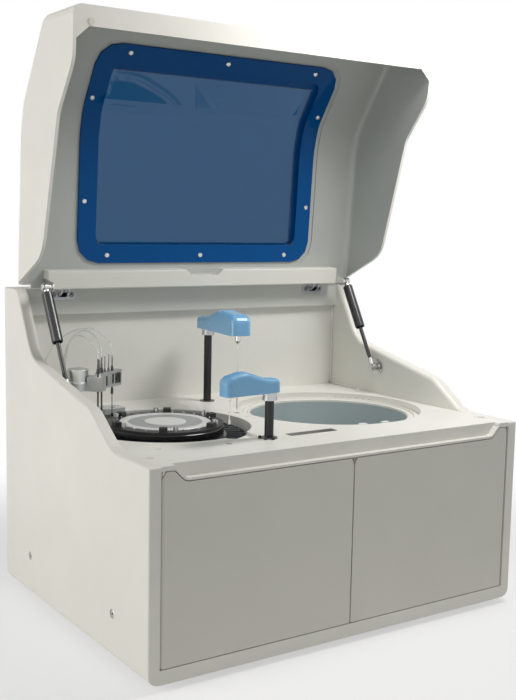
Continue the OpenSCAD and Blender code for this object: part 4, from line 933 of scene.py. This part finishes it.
studio = {
    "floorSize": 14.0,
    "floorColour": (0.95, 0.95, 0.95),
    "floorRoughness": 0.7,
    "floorGlow": 0.5,    # share of plain white in the floor under the object
    "fadeStart": 0.62,    # metres from the object's middle
    "fadeEnd": 1.3,
    "white": (1, 1, 1),
    "worldLight": 0.24,
}
lamps = {
    "keyLamp": {"place": (-2.7, 0.2, 0.9), "target": (-0.3, 0, 0.45), "power": 30,
                "size": (1.6, 1.6), "colour": (1.0, 0.985, 0.95)},
    "topLamp": {"place": (0.42, -0.33, 1.38), "target": (-0.05, 0.2, 0.45), "power": 10,
                "size": (0.5, 0.4), "colour": (1.0, 0.99, 0.97)},
    "fillLamp": {"place": (-0.6, -3.0, 1.4), "target": (0, 0, 0.5), "power": 2.0,
                 "size": (2.4, 1.6), "colour": (0.96, 0.98, 1.0)},
}


def seenRays(tree):
    # 1 for what is seen straight, through clear pieces or mirrored
    rays = addNode(tree, "ShaderNodeLightPath").outputs
    straight = reckon(tree, "MAXIMUM", rays["Is Camera Ray"], rays["Is Transmission Ray"])
    return reckon(tree, "MAXIMUM", straight, rays["Is Glossy Ray"])


def makeFloor(look):
    mesh = bpy.data.meshes.new("studioFloor")
    h = look["floorSize"]/2
    mesh.from_pydata([(-h, -h, 0), (h, -h, 0), (h, h, 0), (-h, h, 0)], [], [(0, 1, 2, 3)])
    floor = bpy.data.objects.new("studioFloor", mesh)
    scene.collection.objects.link(floor)
    finish, tree, shader, place = startFinish("studioFloor")
    feed(tree, shader, {"Base Color": look["floorColour"], "Roughness": look["floorRoughness"]})
    glow = addNode(tree, "ShaderNodeEmission", {"Color": look["white"]})
    fade = addNode(tree, "ShaderNodeMapRange", {
        "Value": reckonVector(tree, "LENGTH", place), "From Min": look["fadeStart"],
        "From Max": look["fadeEnd"], "To Min": look["floorGlow"]}, interpolation_type="SMOOTHSTEP")
    amount = reckon(tree, "MULTIPLY", fade.outputs["Result"], seenRays(tree))
    mixed = addNode(tree, "ShaderNodeMixShader", {
        "Fac": amount, 1: shader.outputs["BSDF"], 2: glow.outputs["Emission"]})
    feed(tree, tree.nodes["Material Output"], {"Surface": mixed.outputs["Shader"]})
    mesh.materials.append(finish)


def makeWorld(look):
    world = bpy.data.worlds.new("studioWorld")
    world.use_nodes = True
    tree = world.node_tree
    level = addNode(tree, "ShaderNodeMapRange", {
        "Value": seenRays(tree), "To Min": look["worldLight"], "To Max": 1.0})
    feed(tree, tree.nodes["Background"], {"Color": look["white"], "Strength": level.outputs["Result"]})
    scene.world = world


def makeLamp(name, look):
    data = bpy.data.lights.new(name, "AREA")
    data.shape = "RECTANGLE"
    data.size, data.size_y = look["size"]
    data.energy = look["power"]
    data.color = look["colour"]
    lamp = bpy.data.objects.new(name, data)
    scene.collection.objects.link(lamp)
    away = Vector(look["place"]) - Vector(look["target"])
    turn = away.to_track_quat("Z", "Y").to_matrix().to_4x4()
    lamp.matrix_world = Matrix.Translation(look["place"]) @ turn


makeFloor(studio)
makeWorld(studio)
for name, look in lamps.items():
    makeLamp(name, look)
scene.view_settings.view_transform = "Standard"
print("stage and lamps")
